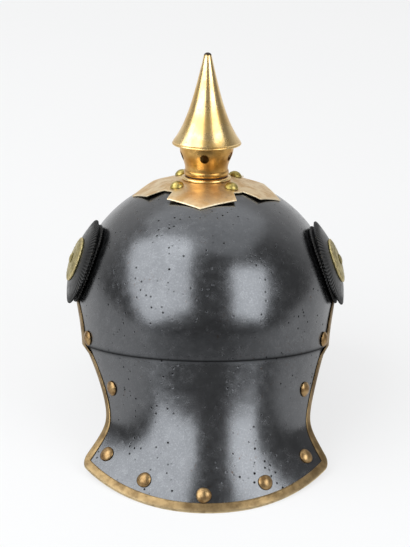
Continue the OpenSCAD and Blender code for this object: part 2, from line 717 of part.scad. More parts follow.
module spike_thread() {
    low = collar_top - thread_pitch * thread_turns;
    flange_z = spike_z + neck_floor + run;
    color("#a8884a") stand() rotate_extrude() polygon([[sleeve_r - 2.5, low], [sleeve_r - 0.6, low],
        [sleeve_r, low + 0.6], [sleeve_r, flange_z], [waist_r - spike_wall - seat, flange_z],
        [waist_r - spike_wall - seat, flange_z + 1.5], [sleeve_r - 2.5, flange_z + 1.5]]);
}

module spike_neck() {
    heights = concat(steps(spike_z, spike_z + bead_h, 8), steps(waist_z, neck_end_z, 12));
    inner = steps(neck_end_z, waist_z, 12);
    color("#b57a2e") stand() difference() {
        rotate_extrude() polygon(concat([[sleeve_r + run, spike_z]],
            [for (z = heights) [neck_r(z), z]],
            [for (z = inner) [neck_r(z) - spike_wall, z]],
            [[waist_r - spike_wall, spike_z + neck_floor], [sleeve_r + run, spike_z + neck_floor]]));
        for (i = [0:vent_count - 1])
            translate([0, 0, collar_top + vent_rise])
                rotate([0, 90, vent_turn - 90 + 360 / vent_count * i])
                    cylinder(r = vent_r, h = 2 * neck_top_r);
    }
}

module spike_cone() {
    under = neck_end_z + run;
    outside = steps(rim_z, tip_foot, 18);
    color("#c39a45") stand() rotate_extrude() polygon(concat(
        [[neck_top_r - 2 * spike_wall - 1, under], [rim_r - 0.7, under], [rim_r, under + 0.7]],
        [for (z = outside) [cone_r(z), z]],
        [for (i = [len(outside) - 1:-1:0]) [cone_r(outside[i]) - spike_wall, outside[i]]],
        [[rim_r - 1.5 * spike_wall, under + spike_wall],
            [neck_top_r - 2 * spike_wall - 1, under + spike_wall]]));
}

module spike_tip() {
    foot = tip_foot + run;
    ball_z = tip_z - cone_end_r;
    ball_r = cone_r(ball_z);
    spigot = cone_r(tip_foot) - spike_wall - 2 * run;
    color("#c39a45") stand() rotate_extrude() polygon(concat(
        [[0, foot - 6], [spigot, foot - 6], [spigot, foot]],
        [for (z = steps(foot, ball_z, 6)) [cone_r(z), z]],
        [for (a = steps(15, 90, 5)) [ball_r * cos(a), ball_z + cone_end_r * sin(a)]]));
}

// Side stack: a child is drawn along +Z, outward, from the skull's surface at the side screw
module on_side(side) {
    stand() mirror([side < 0 ? 1 : 0, 0, 0]) place(post_spot, skull_normal(post_spot)) children();
}
// The backing lies on the ear cut-out's trim, so it stands off the skull by the trim's height
backing_d0 = trim_over + seat;
tab_d0 = backing_d0 + backing_t + seat;
hub_d0 = tab_d0 + tab_t + seat;
rosette_foot_d0 = hub_d0 + cockade_t + seat;
// Depth of the cockade's hub below the top of its dome, and radii of the hub's floor and wall
hub_well = 3;
hub_floor_r = 7;
hub_wall_r = 10.5;
cockade_r = cockade_d / 2;
cockade_ball = (pow(cockade_r, 2) + pow(cockade_dome, 2)) / (2 * cockade_dome);
function cockade_top(r) = hub_d0 + cockade_t + hub_well - cockade_ball
    + sqrt(pow(cockade_ball, 2) - r * r);

// Disc outline with pointed teeth
module toothed(r, count) {
    polygon([for (i = [0:2 * count - 1]) let (a = 180 / count * i, q = i % 2 == 0 ? r : r - tooth_h)
        [q * cos(a), q * sin(a)]]);
}

module backing(side) {
    color("#2b2b2c") stand() mirror([side < 0 ? 1 : 0, 0, 0]) intersection() {
        difference() {
            dome_solid(half_w + backing_d0 + backing_t, half_l + backing_d0 + backing_t,
                crown_h + backing_d0 + backing_t, brow_drop);
            dome_solid(half_w + backing_d0, half_l + backing_d0, crown_h + backing_d0,
                brow_drop + over);
        }
        place(post_spot, skull_normal(post_spot)) translate([0, 0, -cockade_r / 2])
            difference() {
                linear_extrude(cockade_r) toothed(backing_d / 2, cockade_teeth);
                translate([0, 0, -over]) cylinder(d = post_d + 2 * run, h = cockade_r + 2 * over);
            }
    }
}

module cockade(side) {
    outside = steps(cockade_r + tooth_h, hub_wall_r, 8);
    inside = steps(hub_wall_r + cockade_t / 2, cockade_r + tooth_h, 8);
    color("#151515") on_side(side) intersection() {
        rotate_extrude() polygon(concat(
            [[post_d / 2 + run, hub_d0], [hub_floor_r + cockade_t / 2, hub_d0]],
            [for (r = inside) [r, cockade_top(r) - cockade_t]],
            [for (r = outside) [r, cockade_top(r)]],
            [[hub_floor_r, hub_d0 + cockade_t], [post_d / 2 + run, hub_d0 + cockade_t]]));
        translate([0, 0, -cockade_r / 2]) linear_extrude(cockade_r) toothed(cockade_r, cockade_teeth);
    }
}

rosette_r = rosette_d / 2;
rosette_d0 = cockade_top(rosette_r) + seat;
rosette_t = 0.8;
rosette_rim = 1.4;
rosette_ball = (pow(rosette_r, 2) + pow(rosette_h - rosette_rim, 2)) / (2 * (rosette_h - rosette_rim));
function rosette_top(r) = rosette_d0 + rosette_h - rosette_ball
    + sqrt(pow(rosette_ball, 2) - r * r);
rosette_boss_r = 5;
module rosette(side) {
    outside = steps(rosette_r, post_d / 2 + run, 8);
    inside = steps(rosette_boss_r, rosette_r - rosette_t, 6);
    color("#b3a06a") on_side(side) rotate_extrude() polygon(concat(
        [[post_d / 2 + run, rosette_foot_d0], [rosette_boss_r, rosette_foot_d0]],
        [for (r = inside) [r, rosette_top(r) - rosette_t]],
        [[rosette_r - rosette_t, rosette_d0], [rosette_r, rosette_d0]],
        [for (r = outside) [r, rosette_top(r)]]));
}

nut_h = 3;
screw_seat = rosette_top(post_d / 2 + run) + run;
module side_screws() {
    color("#8d7a52") for (side = [-1, 1]) on_side(side) {
        translate([0, 0, screw_seat]) dome(screw_d, screw_d / 6);
        translate([0, 0, -skull_t - seat - nut_h - 1])
            cylinder(d = post_d, h = screw_seat + skull_t + seat + nut_h + 1.5);
    }
}

module side_nuts() {
    color("#a8884a") for (side = [-1, 1]) on_side(side)
        translate([0, 0, -skull_t - seat - nut_h]) hex_nut(post_d, nut_h);
}

// Chin loop: a half circle about the pivots' axis, resting with its buckle just above the visor
loop_r = half_w + loop_side;
wire_r = wire_d / 2;
buckle_side_w = wire_d + 0.4;
loop_half = strap_w / 2 + seat + buckle_side_w;
function visor_top(y) = let (v = (y - half_l + tuck) / (visor_l + tuck))
    -brow_drop - gap - visor_fall * v + visor_crown * 4 * v * (1 - v);
// Angle that the loop hangs below its pivots, found by repeating the sum
function settle(hang, n) = n == 0 ? hang : settle(asin((pivot_up - loop_half * cos(hang) - seat
    - visor_top(half_l + loop_front - loop_half * sin(hang))) / loop_r), n - 1);
hang = settle(20, 6);
pivot_y = half_l + loop_front - loop_r * cos(hang);
pivot_end = strap_w / 2;
pivot_axis_x = loop_r - strap_t / 2 - 1.5 * seat - tab_t;
// The side screw, behind the pivot by the cockade and the space between them
post_spot = side_point(1, pivot_y - pivot_d - pivot_space - cockade_r, post_up);

module loop_plane() {
    stand() translate([0, pivot_y, pivot_up]) rotate([-hang, 0, 0]) children();
}
// Stands a child on the loop's middle line: +X towards the front from the right, +Z outward
module on_loop(at, out = 0) {
    rotate([0, 0, -at]) translate([0, loop_r + out, 0]) rotate([90, 0, 180]) children();
}
function loop_at(at, out, across) =
    [(loop_r + out) * sin(at), (loop_r + out) * cos(at), across];
function arc_angle(length) = length / loop_r * 180 / PI;

// The buckle's two cross bars, and where the tongue of the right strap ends
rear_bar_at = -9;
front_bar_at = rear_bar_at + arc_angle(buckle_l);
tongue_end_at = -arc_angle(strap_bare - 2);
keeper_at = (tongue_end_at + rear_bar_at) / 2 - 1;
wrap_r = wire_r + 3 * run + 1.2;
tongue_over_bar = wrap_r + seat + strap_t / 2;
tongue_over_strap = strap_t + seat;
function tongue_lift(at) = at >= front_bar_at ? 0
    : at > rear_bar_at
        ? tongue_over_bar * (1 - smooth((at - rear_bar_at) / (front_bar_at - rear_bar_at)))
        : mix(tongue_over_bar, tongue_over_strap, smooth(min((rear_bar_at - at) / 5, 1)));
front_bar = loop_at(front_bar_at, strap_t / 2 + seat + wire_r, 0);
rear_bar = loop_at(rear_bar_at, 0, 0);

// Strap from the right pivot to an angle left of the front, with a rounded end at the pivot
module strap_blank(angles, lifted) {
    function side_of(out) = [
        for (at = angles) let (p = loop_at(at, out + (lifted ? tongue_lift(at) : 0), 0)) [p.x, p.y]];
    inner = side_of(-strap_t / 2);
    outer = side_of(strap_t / 2);
    difference() {
        translate([0, 0, -strap_w / 2]) linear_extrude(strap_w) polygon(concat(
            [[loop_r - strap_t / 2, -pivot_end]], inner,
            [for (i = [len(outer) - 1:-1:0]) outer[i]], [[loop_r + strap_t / 2, -pivot_end]]));
        translate([loop_r - strap_t, 0, 0]) rotate([0, 90, 0]) {
            translate([0, 0, -over]) cylinder(d = pivot_d + 2 * run, h = 2 * strap_t + 2 * over);
            difference() {
                translate([-strap_w, -strap_w, 0]) cube([2 * strap_w, strap_w, 2 * strap_t]);
                translate([0, 0, -over]) cylinder(r = pivot_end, h = 2 * strap_t + 2 * over);
            }
        }
    }
}

module chin_strap_right() {
    angles = concat(steps(90, 6, 24), steps(3, tongue_end_at, 16));
    color("#3a2416") loop_plane() difference() {
        strap_blank(angles, true);
        rod(prong_foot, prong_tip, prong_d + 2 * seat);
    }
}

module chin_strap_left() {
    color("#3a2416") loop_plane() difference() {
        union() {
            mirror([1, 0, 0]) strap_blank(steps(90, -rear_bar_at, 24), false);
            translate(rear_bar - [0, 0, strap_w / 2]) cylinder(r = wrap_r, h = strap_w);
        }
        translate(rear_bar - [0, 0, strap_w]) cylinder(r = wire_r + 3 * run, h = 2 * strap_w);
        translate(rear_bar - [0, 0, prong_eye_w / 2 + seat])
            cylinder(r = wrap_r + over, h = prong_eye_w + 2 * seat);
    }
}

scale_start = strap_w / 2 + 3;
scale_pitch = (loop_r * PI / 2 - scale_start - strap_bare) / scale_count;
scale_l = 1.35 * scale_pitch;
scale_tilt = 5.5;
module chin_scales(side) {
    color("#b3925c") loop_plane() mirror([side < 0 ? 1 : 0, 0, 0])
        for (i = [0:scale_count - 1]) let (w = scale_w * (1 - 0.02 * i))
            on_loop(90 - arc_angle(scale_start + (i + 0.5) * scale_pitch), strap_t / 2 + scale_t)
                rotate([0, -scale_tilt, 0]) linear_extrude(scale_t) intersection() {
                    square([scale_l, w], center = true);
                    translate([scale_l / 2 - w * 0.7, 0]) circle(w * 0.7);
                }
}

module rod(a, b, d) {
    place(a, unit(b - a)) cylinder(d = d, h = norm(b - a));
}

module buckle_frame() {
    reach = strap_w / 2 + seat + wire_r;
    away = unit(front_bar - rear_bar);
    color("#b3925c") loop_plane() {
        for (bar = [rear_bar, front_bar])
            translate(bar - [0, 0, reach]) cylinder(d = wire_d, h = 2 * reach);
        for (s = [-1, 1])
            translate(rear_bar + [0, 0, s * (reach + buckle_side_w / 2 - wire_r)])
                rotate([0, 0, atan2(away.y, away.x)]) translate([-1, -1, -1] * buckle_side_w / 2)
                    cube([norm(front_bar - rear_bar), 0, 0] + [1, 1, 1] * buckle_side_w);
    }
}

prong_d = 1.6;
prong_eye_w = 2.4;
prong_eye_r = wire_r + 2 * run + 0.9;
prong_foot = loop_at(rear_bar_at, wire_r + 2 * run + prong_d / 2 + 0.1, 0);
prong_rest = loop_at(front_bar_at, strap_t / 2 + seat + wire_d + run + prong_d / 2, 0);
prong_tip = prong_rest + 2 * unit(prong_rest - prong_foot);
module buckle_prong() {
    color("#b3925c") loop_plane() {
        difference() {
            translate(rear_bar - [0, 0, prong_eye_w / 2]) cylinder(r = prong_eye_r, h = prong_eye_w);
            translate(rear_bar - [0, 0, prong_eye_w]) cylinder(r = wire_r + 2 * run, h = 2 * prong_eye_w);
        }
        rod(prong_foot, prong_tip, prong_d);
    }
}

keeper_l = 7;
keeper_t = 1.2;
module strap_keeper() {
    low = -strap_t / 2 - seat;
    tall = tongue_over_strap + strap_t + 2 * seat;
    wide = strap_w + 2 * seat;
    color("#2f1d12") loop_plane() on_loop(keeper_at) difference() {
        translate([-keeper_l / 2, -wide / 2 - keeper_t, low - keeper_t])
            cube([keeper_l, wide + 2 * keeper_t, tall + 2 * keeper_t]);
        translate([-keeper_l, -wide / 2, low]) cube([2 * keeper_l, wide, tall]);
    }
}

// Leather tab from under the cockade to the pivot, as five flat lengths
post_n = skull_normal(post_spot);
post_lean = acos(post_n.z);
post_turn = atan2(post_n.y, post_n.x);
down_side = [cos(post_lean) * cos(post_turn), cos(post_lean) * sin(post_turn), -sin(post_lean)];
fore_side = [-sin(post_turn), cos(post_turn), 0];
to_pivot = [pivot_axis_x, pivot_y, pivot_up] - post_spot;
tab_turn = atan2(to_pivot * down_side, to_pivot * fore_side);
tab_half = 7;
// Levels of the tab where it bends over the backing, leaves its edge and passes the cockade's rim
tab_bend_r = 20;
tab_edge_r = backing_d / 2 + 0.5;
tab_exit_r = cockade_r + 0.5;
function backing_drop(r) = half_l * half_l / half_w - sqrt(pow(half_l * half_l / half_w, 2) - r * r);
tab_bend_d = tab_d0 + run - backing_drop(tab_bend_r);
tab_edge_d = tab_d0 + run - backing_drop(tab_edge_r);
tab_exit_d = cockade_top(cockade_r) - cockade_t - seat - tab_t;

// A row of the tab across its middle line, as a half width along a side direction
function tab_row(middle, side, half) = [for (k = [-1, -0.5, 0, 0.5, 1]) middle + k * half * side];
tab_along = sin(tab_turn) * down_side + cos(tab_turn) * fore_side;
tab_across = cross(post_n, tab_along);
function tab_point(r, d) = post_spot + r * tab_along + d * post_n;
tab_exit = tab_point(tab_exit_r, tab_exit_d);
tab_pivot = [pivot_axis_x, pivot_y, pivot_up];
plate_along = unit([0, tab_pivot.y - tab_exit.y, tab_pivot.z - tab_exit.z]);
plate_across = cross([1, 0, 0], plate_along);
plate_r = pivot_end - 1;
function tab_skin(lift) = concat(
    [for (a = [-75, -50, -25, 0])
        tab_row(tab_point(tab_half * sin(a), tab_d0 + lift), tab_across, tab_half * cos(a))],
    [tab_row(tab_point(hub_floor_r + 1, tab_d0 + lift), tab_across, tab_half),
        tab_row(tab_point(tab_bend_r, tab_bend_d + lift), tab_across, tab_half),
        tab_row(tab_point(tab_edge_r, tab_edge_d + lift), tab_across, tab_half),
        tab_row(tab_point(tab_exit_r, tab_exit_d + lift), tab_across, tab_half),
        tab_row(tab_pivot - (pivot_end + seat) * plate_along + [lift, 0, 0], plate_across, tab_half)],
    [for (a = [0, 25, 50, 75])
        tab_row(tab_pivot + plate_r * sin(a) * plate_along + [lift, 0, 0], plate_across,
            plate_r * cos(a))]);
module chin_tab(side) {
    color("#3a2416") stand() mirror([side < 0 ? 1 : 0, 0, 0]) difference() {
        sheet(tab_skin(tab_t), tab_skin(0));
        place(post_spot, post_n) cylinder(d = post_d + 2 * run, h = 10);
        translate([loop_r, pivot_y, pivot_up]) rotate([0, 90, 0])
            cylinder(d = pivot_d + 2 * run, h = 10, center = true);
    }
}

module chin_pivots() {
    low = pivot_axis_x - run;
    high = loop_r + strap_t / 2 + run;
    color("#b3925c") stand() for (s = [0, 1]) mirror([s, 0, 0])
        translate([0, pivot_y, pivot_up]) rotate([0, 90, 0]) {
            translate([0, 0, low - 0.5]) cylinder(d = pivot_d, h = high - low + 1);
            translate([0, 0, high]) dome(2 * pivot_d, pivot_d / 2);
            translate([0, 0, low]) mirror([0, 0, 1]) dome(1.8 * pivot_d, 1.4);
        }
}

// Rayed star on the forehead: long and short rays with a ridge each, round a plain boss
star_rays = 8;
star_rows = 12;
star_hole_r = star_stud_d / 2 + run;
star_seat = 0.5;
function star_skin(lift, relief) = [for (i = [0:star_rows]) [
    for (j = [0:4 * star_rays - 1])
        let (a = -90 / star_rays * j, k = i / star_rows,
            out = j % 4 == 0 ? star_r : j % 4 == 2 ? mix(star_notch_r, star_r, 0.6) : star_notch_r,
            ridge = j % 2 == 0 ? 1 : 0.35,
            r = mix(star_hole_r, out, k), x = r * cos(a), z = star_up + r * sin(a),
            p = [x, brow_y(x, z), z])
        p + (lift + relief * ridge * k * (1 - k) * 4) * skull_normal(p)]];
module front_star() {
    color("#b3925c") stand() difference() {
        sheet(star_skin(star_seat + star_t, star_relief), star_skin(star_seat, star_relief),
            ring = true);
        drill(star_stud_spots, star_stud_d);
    }
}

star_lift = star_seat + star_t + star_relief + seat;
module star_boss() {
    color("#b8863e") stand() place(star_middle, skull_normal(star_middle)) {
        translate([0, 0, star_lift]) dome(2 * boss_r, boss_r / 2);
        translate([0, 0, -star_grip]) cylinder(d = star_stud_d, h = star_grip + star_lift + over);
    }
}
star_nut_h = 2.4;
star_grip = skull_t + seat + star_nut_h + 0.6;
module star_studs() {
    color("#b8863e") stand() for (p = star_stud_spots) place(p, skull_normal(p)) {
        translate([0, 0, star_lift]) dome(2.4 * star_stud_d, star_stud_d / 2);
        translate([0, 0, -star_grip]) cylinder(d = star_stud_d, h = star_grip + star_lift + 0.5);
    }
}
module star_nuts() {
    color("#a8884a") stand() for (p = concat([star_middle], star_stud_spots))
        place(p, skull_normal(p)) translate([0, 0, -skull_t - seat - star_nut_h])
            hex_nut(star_stud_d, star_nut_h);
}

// Liner: a band inside the skull, tongues that rise from it and a lace through their tips
band_in = skull_t + seat;
module liner_band() {
    color("#6b4a2f") stand() difference() {
        dome_solid(half_w - band_in, half_l - band_in, crown_h - band_in, band_low);
        dome_solid(half_w - band_in - band_t, half_l - band_in - band_t,
            crown_h - band_in - band_t, band_low + over);
        translate([-half_w, -half_l, band_top]) cube([skull_w, skull_l, crown_h]);
        translate([0, -ear_back, ear_z]) rotate([0, 90, 0])
            cylinder(r = ear_r + trim_w + seat, h = skull_w, center = true);
    }
}

tongue_in = band_in + band_t + seat;
tongue_a = half_w - tongue_in;
tongue_b = half_l - tongue_in;
tongue_c = crown_h - skull_t - crown_air;
lace_r = 21.5;
lace_d = 2.2;
tongue_rows = 7;
tongue_cols = 4;
function tongue_skin(turn, inset) = [for (i = [0:tongue_rows]) [
    for (j = [0:tongue_cols])
        let (k = i / tongue_rows, tip = acos((lace_r - 3) / tongue_a),
            foot = asin((band_top - 10) / tongue_c), rise = mix(tip, foot, k),
            half = mix(tongue_tip_w, tongue_w, pow(k, 0.8)) / 2,
            spread = half / (tongue_a * cos(rise)) * 180 / PI,
            a = turn + spread * (2 * j / tongue_cols - 1))
        [(tongue_a - inset) * cos(rise) * cos(a), (tongue_b - inset) * cos(rise) * sin(a),
            (tongue_c - inset) * sin(rise)]]];
module liner_tongues() {
    color("#7a5636") stand() for (i = [0:tongue_count - 1]) let (turn = 90 + 360 / tongue_count * i)
        sheet(tongue_skin(turn, 0), tongue_skin(turn, tongue_t));
}

module liner_lace() {
    color("#4a3322") stand() translate([0, 0, tongue_c * sqrt(1 - pow(lace_r / tongue_b, 2)) + seat
        + lace_d / 2]) rotate_extrude() translate([lace_r, 0]) circle(d = lace_d, $fn = 24);
}

skull();
neck_guard();
visor();
neck_guard_trim();
visor_trim();
neck_guard_rivets();
rivet_burrs();
visor_rivets();
cross_base();
base_collar();
base_studs();
base_stud_nuts();
spike_washer();
spike_thread();
spike_neck();
spike_cone();
spike_tip();
backing(-1);  // backing_left
backing(1);  // backing_right
cockade(-1);  // cockade_left
cockade(1);  // cockade_right
rosette(-1);  // rosette_left
rosette(1);  // rosette_right
side_screws();
side_nuts();
chin_tab(-1);  // chin_tab_left
chin_tab(1);  // chin_tab_right
chin_pivots();
chin_strap_left();
chin_strap_right();
chin_scales(-1);  // chin_scales_left
chin_scales(1);  // chin_scales_right
buckle_frame();
buckle_prong();
strap_keeper();
front_star();
star_boss();
star_studs();
star_nuts();
liner_band();
liner_tongues();
liner_lace();
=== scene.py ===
"""A steel spiked helmet of a mounted rifleman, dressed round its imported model.

Every piece is worked out in the helmet's own frame, in millimetres: the spike's axis is Z, the
forehead is +Y and Z = 0 is the skull's widest level. stood() then pitches it forward onto its
tail and visor, into the part's frame, in metres. Angles are in radians.
"""

import json
import math

import bmesh
import bpy
import numpy as np
from mathutils import Matrix, Quaternion, Vector


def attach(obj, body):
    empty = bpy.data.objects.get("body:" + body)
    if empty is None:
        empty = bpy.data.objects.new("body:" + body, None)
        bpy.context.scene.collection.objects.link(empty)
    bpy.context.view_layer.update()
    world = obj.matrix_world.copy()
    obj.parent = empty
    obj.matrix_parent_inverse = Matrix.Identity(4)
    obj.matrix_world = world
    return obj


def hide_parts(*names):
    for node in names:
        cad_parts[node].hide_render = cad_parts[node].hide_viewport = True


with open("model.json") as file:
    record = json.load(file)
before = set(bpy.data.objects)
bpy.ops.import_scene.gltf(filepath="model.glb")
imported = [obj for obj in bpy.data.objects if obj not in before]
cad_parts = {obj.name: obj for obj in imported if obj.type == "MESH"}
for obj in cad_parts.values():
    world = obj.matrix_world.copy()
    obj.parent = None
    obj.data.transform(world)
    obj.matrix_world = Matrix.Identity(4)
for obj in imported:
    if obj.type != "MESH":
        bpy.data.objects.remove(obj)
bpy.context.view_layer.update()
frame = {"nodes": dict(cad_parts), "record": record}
BODY = {node: body for body, nodes in frame["record"]["behaviour"]["bodies"].items()
        for node in nodes}
SLOT = {row["node"]: row["material_slot"] for row in frame["record"]["subparts"]}

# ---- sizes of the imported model, in millimetres
# The skull is an ellipsoid of these half sizes above its widest level, and straight below it
HALF = np.array([100.0, 118.0, 93.0])
# How the helmet rests: its pitch, its lift off the floor and the middle of its length
PITCH, LIFT, MIDDLE_Y = math.radians(10.872), 89.1215, -9.73764
# Gaps between two sheets, under a seated head, and where one piece turns in another
GAP, SEAT, RUN = 0.15, 0.3, 0.05
SKULL_T, GUARD_T, VISOR_T, BASE_T, BACKING_T, TAB_T = 1.4, 1.2, 1.2, 0.9, 1.1, 1.2
TUCK = SKULL_T + GAP
TRIM_W, TRIM_T = 6.0, 0.8
TRIM_OVER = GAP + TRIM_T
# The skull's rim: the drops of brow and nape, and the arch over each ear, part of a circle
BROW_DROP, NAPE_DROP = 27.0, 17.0
EAR_R, EAR_BACK, EAR_Z = 38.0, 6.0, -32.0
EAR_HALF = math.sqrt(EAR_R ** 2 - (EAR_Z + BROW_DROP) ** 2)
EAR_REAR, EAR_FRONT = -EAR_BACK - EAR_HALF, -EAR_BACK + EAR_HALF
EAR_LOW = math.asin((EAR_Z + BROW_DROP) / -EAR_R)
SEAM_SLOPE = (BROW_DROP - NAPE_DROP) / (HALF[1] + EAR_REAR)
# The neck guard: its drop, the reach of its tail behind the skull, and its corners
GUARD_DROP, TAIL_REACH, CORNER_RISE = 102.0, 36.0, 16.0
CORNER_W, CORNER_BACK, CORNER_R = 184.0, 96.0, 5.0
# Share of the drop at which the sheet turns into its flare, and how softly
SIDE_FLARE = 69.0 / GUARD_DROP, 13.0 / GUARD_DROP
NAPE_FLARE = 50.0 / GUARD_DROP, 26.0 / GUARD_DROP
NAPE_LEAN, SIDE_LEAN, GUARD_TUCK = 13.0, 16.0, 11.0
# The guard widens and its foot rises to the corners as these powers, and its sides bow a little
SPREAD_POWER, CORNER_POWER, SIDE_BOW = 0.55, 2.2, 2.0
VISOR_L, VISOR_FALL, VISOR_CROWN, VISOR_TUCK, VISOR_CORNER_R = 50.0, 30.0, 2.5, 9.0, 3.0
# Share of a hung sheet's width that its tucked flange keeps
FLANGE_SHARE = 0.94
# The cross base: round hub, and arms with a point, two corners and two roots, flatter across
HUB_R, ARM_TIP, ARM_CORNER, ROOT_HALF, ARM_FLAT = 37.5, 56.7, (43.0, 26.0), 23.0, 0.6
CORNER_AT, ROOT_AT = math.atan2(ARM_CORNER[1], ARM_CORNER[0]), math.asin(ROOT_HALF / HUB_R)
BASE_TURN = math.radians(-5.5)
COLLAR_TOP = HALF[2] + 2.5
SLEEVE_R, SPIGOT_R, COLLAR_R = 12.0, 13.4, 19.0
# In metres: points this close are one, and edges this short are dropped
MERGE, SLIVER = 2e-6, 1e-7
SIDES = (-1, "left"), (1, "right")


# ---- geometry helpers
def stood(p):
    """Helmet frame in mm to the part's frame in m: turned about X by the pitch, then lifted."""
    x, y, z = np.moveaxis(np.asarray(p, float), -1, 0)
    c, s = math.cos(PITCH), math.sin(PITCH)
    return np.stack([x, y * c + z * s - MIDDLE_Y, z * c - y * s + LIFT], -1) / 1000


def unit(v):
    """Vectors scaled to length 1."""
    return v / np.linalg.norm(v, axis=-1, keepdims=True)


def smooth(k):
    """Eased step from 0 to 1: three squares of k less two cubes."""
    k = np.clip(k, 0, 1)
    return k * k * (3 - 2 * k)


def weave(rows, cols, ring):
    """Quads of a grid, rows down and columns to the right seen from outside."""
    i = np.arange(rows - 1)[:, None]
    j = np.arange(cols if ring else cols - 1)[None, :]
    a, b = i * cols + j, i * cols + (j + 1) % cols
    return np.stack([a, a + cols, b + cols, b], -1).reshape(-1, 4)


def shell(outer, inner, ring=False):
    """Closed sheet between an outer and an inner grid of points of the same shape."""
    rows, cols = outer.shape[:2]
    n = rows * cols
    skin = weave(rows, cols, ring)
    j = np.arange(cols if ring else cols - 1)
    k, low = (j + 1) % cols, (rows - 1) * cols
    walls = [np.stack([j, k, k + n, j + n], -1),
             np.stack([low + j + n, low + k + n, low + k, low + j], -1)]
    if not ring:
        i = np.arange(rows - 1) * cols
        e = i + cols - 1
        walls += [np.stack([i, i + n, i + n + cols, i + cols], -1),
                  np.stack([e + n, e, e + cols, e + n + cols], -1)]
    points = np.concatenate([outer.reshape(-1, 3), inner.reshape(-1, 3)])
    return points, np.concatenate([skin, skin[:, ::-1] + n] + walls)


def tube(sections, closed=False):
    """Skin through rings of points, one ring a row; open ends are closed by fans to a middle."""
    rows, cols = sections.shape[:2]
    points = sections.reshape(-1, 3)
    if closed:
        points = np.concatenate([points, points[:cols]])
        return points, weave(rows + 1, cols, True)
    j = np.arange(cols)
    k, low, n = (j + 1) % cols, (rows - 1) * cols, rows * cols
    caps = [np.stack([j, k, np.full(cols, n), np.full(cols, n)], -1),
            np.stack([low + k, low + j, np.full(cols, n + 1), np.full(cols, n + 1)], -1)]
    points = np.concatenate([points, [sections[0].mean(0), sections[-1].mean(0)]])
    return points, np.concatenate([weave(rows, cols, True)] + caps)


def turned(profile, sides=96):
    """Surface of revolution of (radius, height) points, from the top down the outside."""
    profile = np.asarray(profile, float)
    a = np.linspace(0, 2 * math.pi, sides, endpoint=False)
    grid = np.stack([profile[:, :1] * np.cos(a), profile[:, :1] * np.sin(a),
                     np.repeat(profile[:, 1:], sides, 1)], -1)
    return grid.reshape(-1, 3), weave(len(profile), sides, True)


def gather(parts):
    """One list of points and faces from several."""
    points, faces, n = [], [], 0
    for p, f in parts:
        points.append(p)
        faces.append(f + n)
        n += len(p)
    return np.concatenate(points), np.concatenate(faces)


def set_on(part, spot, normal):
    """A part drawn along +Z, stood on a spot with its Z along the normal."""
    points, faces = part
    n = unit(np.asarray(normal, float))
    turn, lean = math.atan2(n[1], n[0]), math.acos(n[2])
    u = np.array([math.cos(lean) * math.cos(turn), math.cos(lean) * math.sin(turn),
                  -math.sin(lean)])
    w = np.array([-math.sin(turn), math.cos(turn), 0.0])
    return np.asarray(spot) + points @ np.stack([u, w, n]), faces


def dome(d, h, rim, lift, steps=12):
    """Profile of a domed head: a cap of a ball on a short straight rim, closed underneath."""
    cap = h - rim
    ball = (d * d / 4 + cap * cap) / (2 * cap)
    r = np.sin(np.linspace(0, math.asin(min(d / 2 / ball, 1)), steps)) * ball
    z = lift + h - ball + np.sqrt(np.maximum(ball ** 2 - r ** 2, 0))
    return np.concatenate([np.stack([r, z], -1), [[d / 2, lift], [0, lift]]])


def mirrored(p):
    """The same point or direction on the helmet's other side."""
    return np.asarray(p, float) * [-1, 1, 1]


def outward(part):
    """Turns a closed part's faces round where its signed volume is negative."""
    points, faces = part
    a, b, c, d = (points[faces[:, i]] for i in range(4))
    volume = (np.cross(b - a, c - a) * a).sum() + (np.cross(c - a, d - a) * a).sum()
    return points, faces if volume > 0 else faces[:, ::-1]


def ribbon(middle, across, out, half, thick, crease=0.0, closed=False):
    """Strip along a path, half wide to each side of its middle and thick along out. Its edges are
    parts of a circle, and a bell curve presses a line inside each edge of its outer face."""
    line_in, line_wide = 2.2, 0.35
    half, thick = (np.broadcast_to(x, len(middle))[:, None].astype(float) for x in (half, thick))
    r = np.minimum(0.45 * np.minimum(thick, 3.0), half)
    # Points across the flat crowd round the pressed line
    inset = np.array([0.0, 0.5, 0.95, 1.2, 1.4, 1.6, 1.95, 3.0, 4.6])[None, :]
    x = np.maximum(half - r - inset, 0)
    x = np.concatenate([-x, x[:, ::-1]], 1)
    press = crease * np.exp(-((half - np.abs(x) - line_in) / line_wide) ** 2)
    turn = np.radians(np.linspace(80, -80, 7))[None, :]
    side_x = half - r + r * np.cos(turn)
    side_h = np.sign(np.sin(turn).round(6)) * (thick / 2 - r) + r * np.sin(turn)
    w = np.concatenate([x, side_x, x[:, ::-1], -side_x[:, ::-1]], 1)[..., None]
    h = np.concatenate([thick / 2 - press, side_h, -thick / 2 + 0 * x, side_h[:, ::-1]], 1)
    sections = middle[:, None] + w * across[:, None] + h[..., None] * out[:, None]
    return outward(tube(sections, closed))


def cord(path, radius, closed=False, up=(0, 0, 1), sides=14):
    """Round cord, wire or thread: a circle carried along a path that never runs along `up`."""
    ahead = (np.roll(path, -1, 0) - np.roll(path, 1, 0)) if closed else np.gradient(path, axis=0)
    n = unit(np.cross(unit(ahead), np.asarray(up, float)))
    b = np.cross(unit(ahead), n)
    a = np.linspace(0, 2 * math.pi, sides, endpoint=False)[None, :, None]
    radius = np.broadcast_to(radius, len(path))[:, None, None]
    return outward(tube(path[:, None] + radius * (np.cos(a) * n[:, None] + np.sin(a) * b[:, None]),
                        closed))


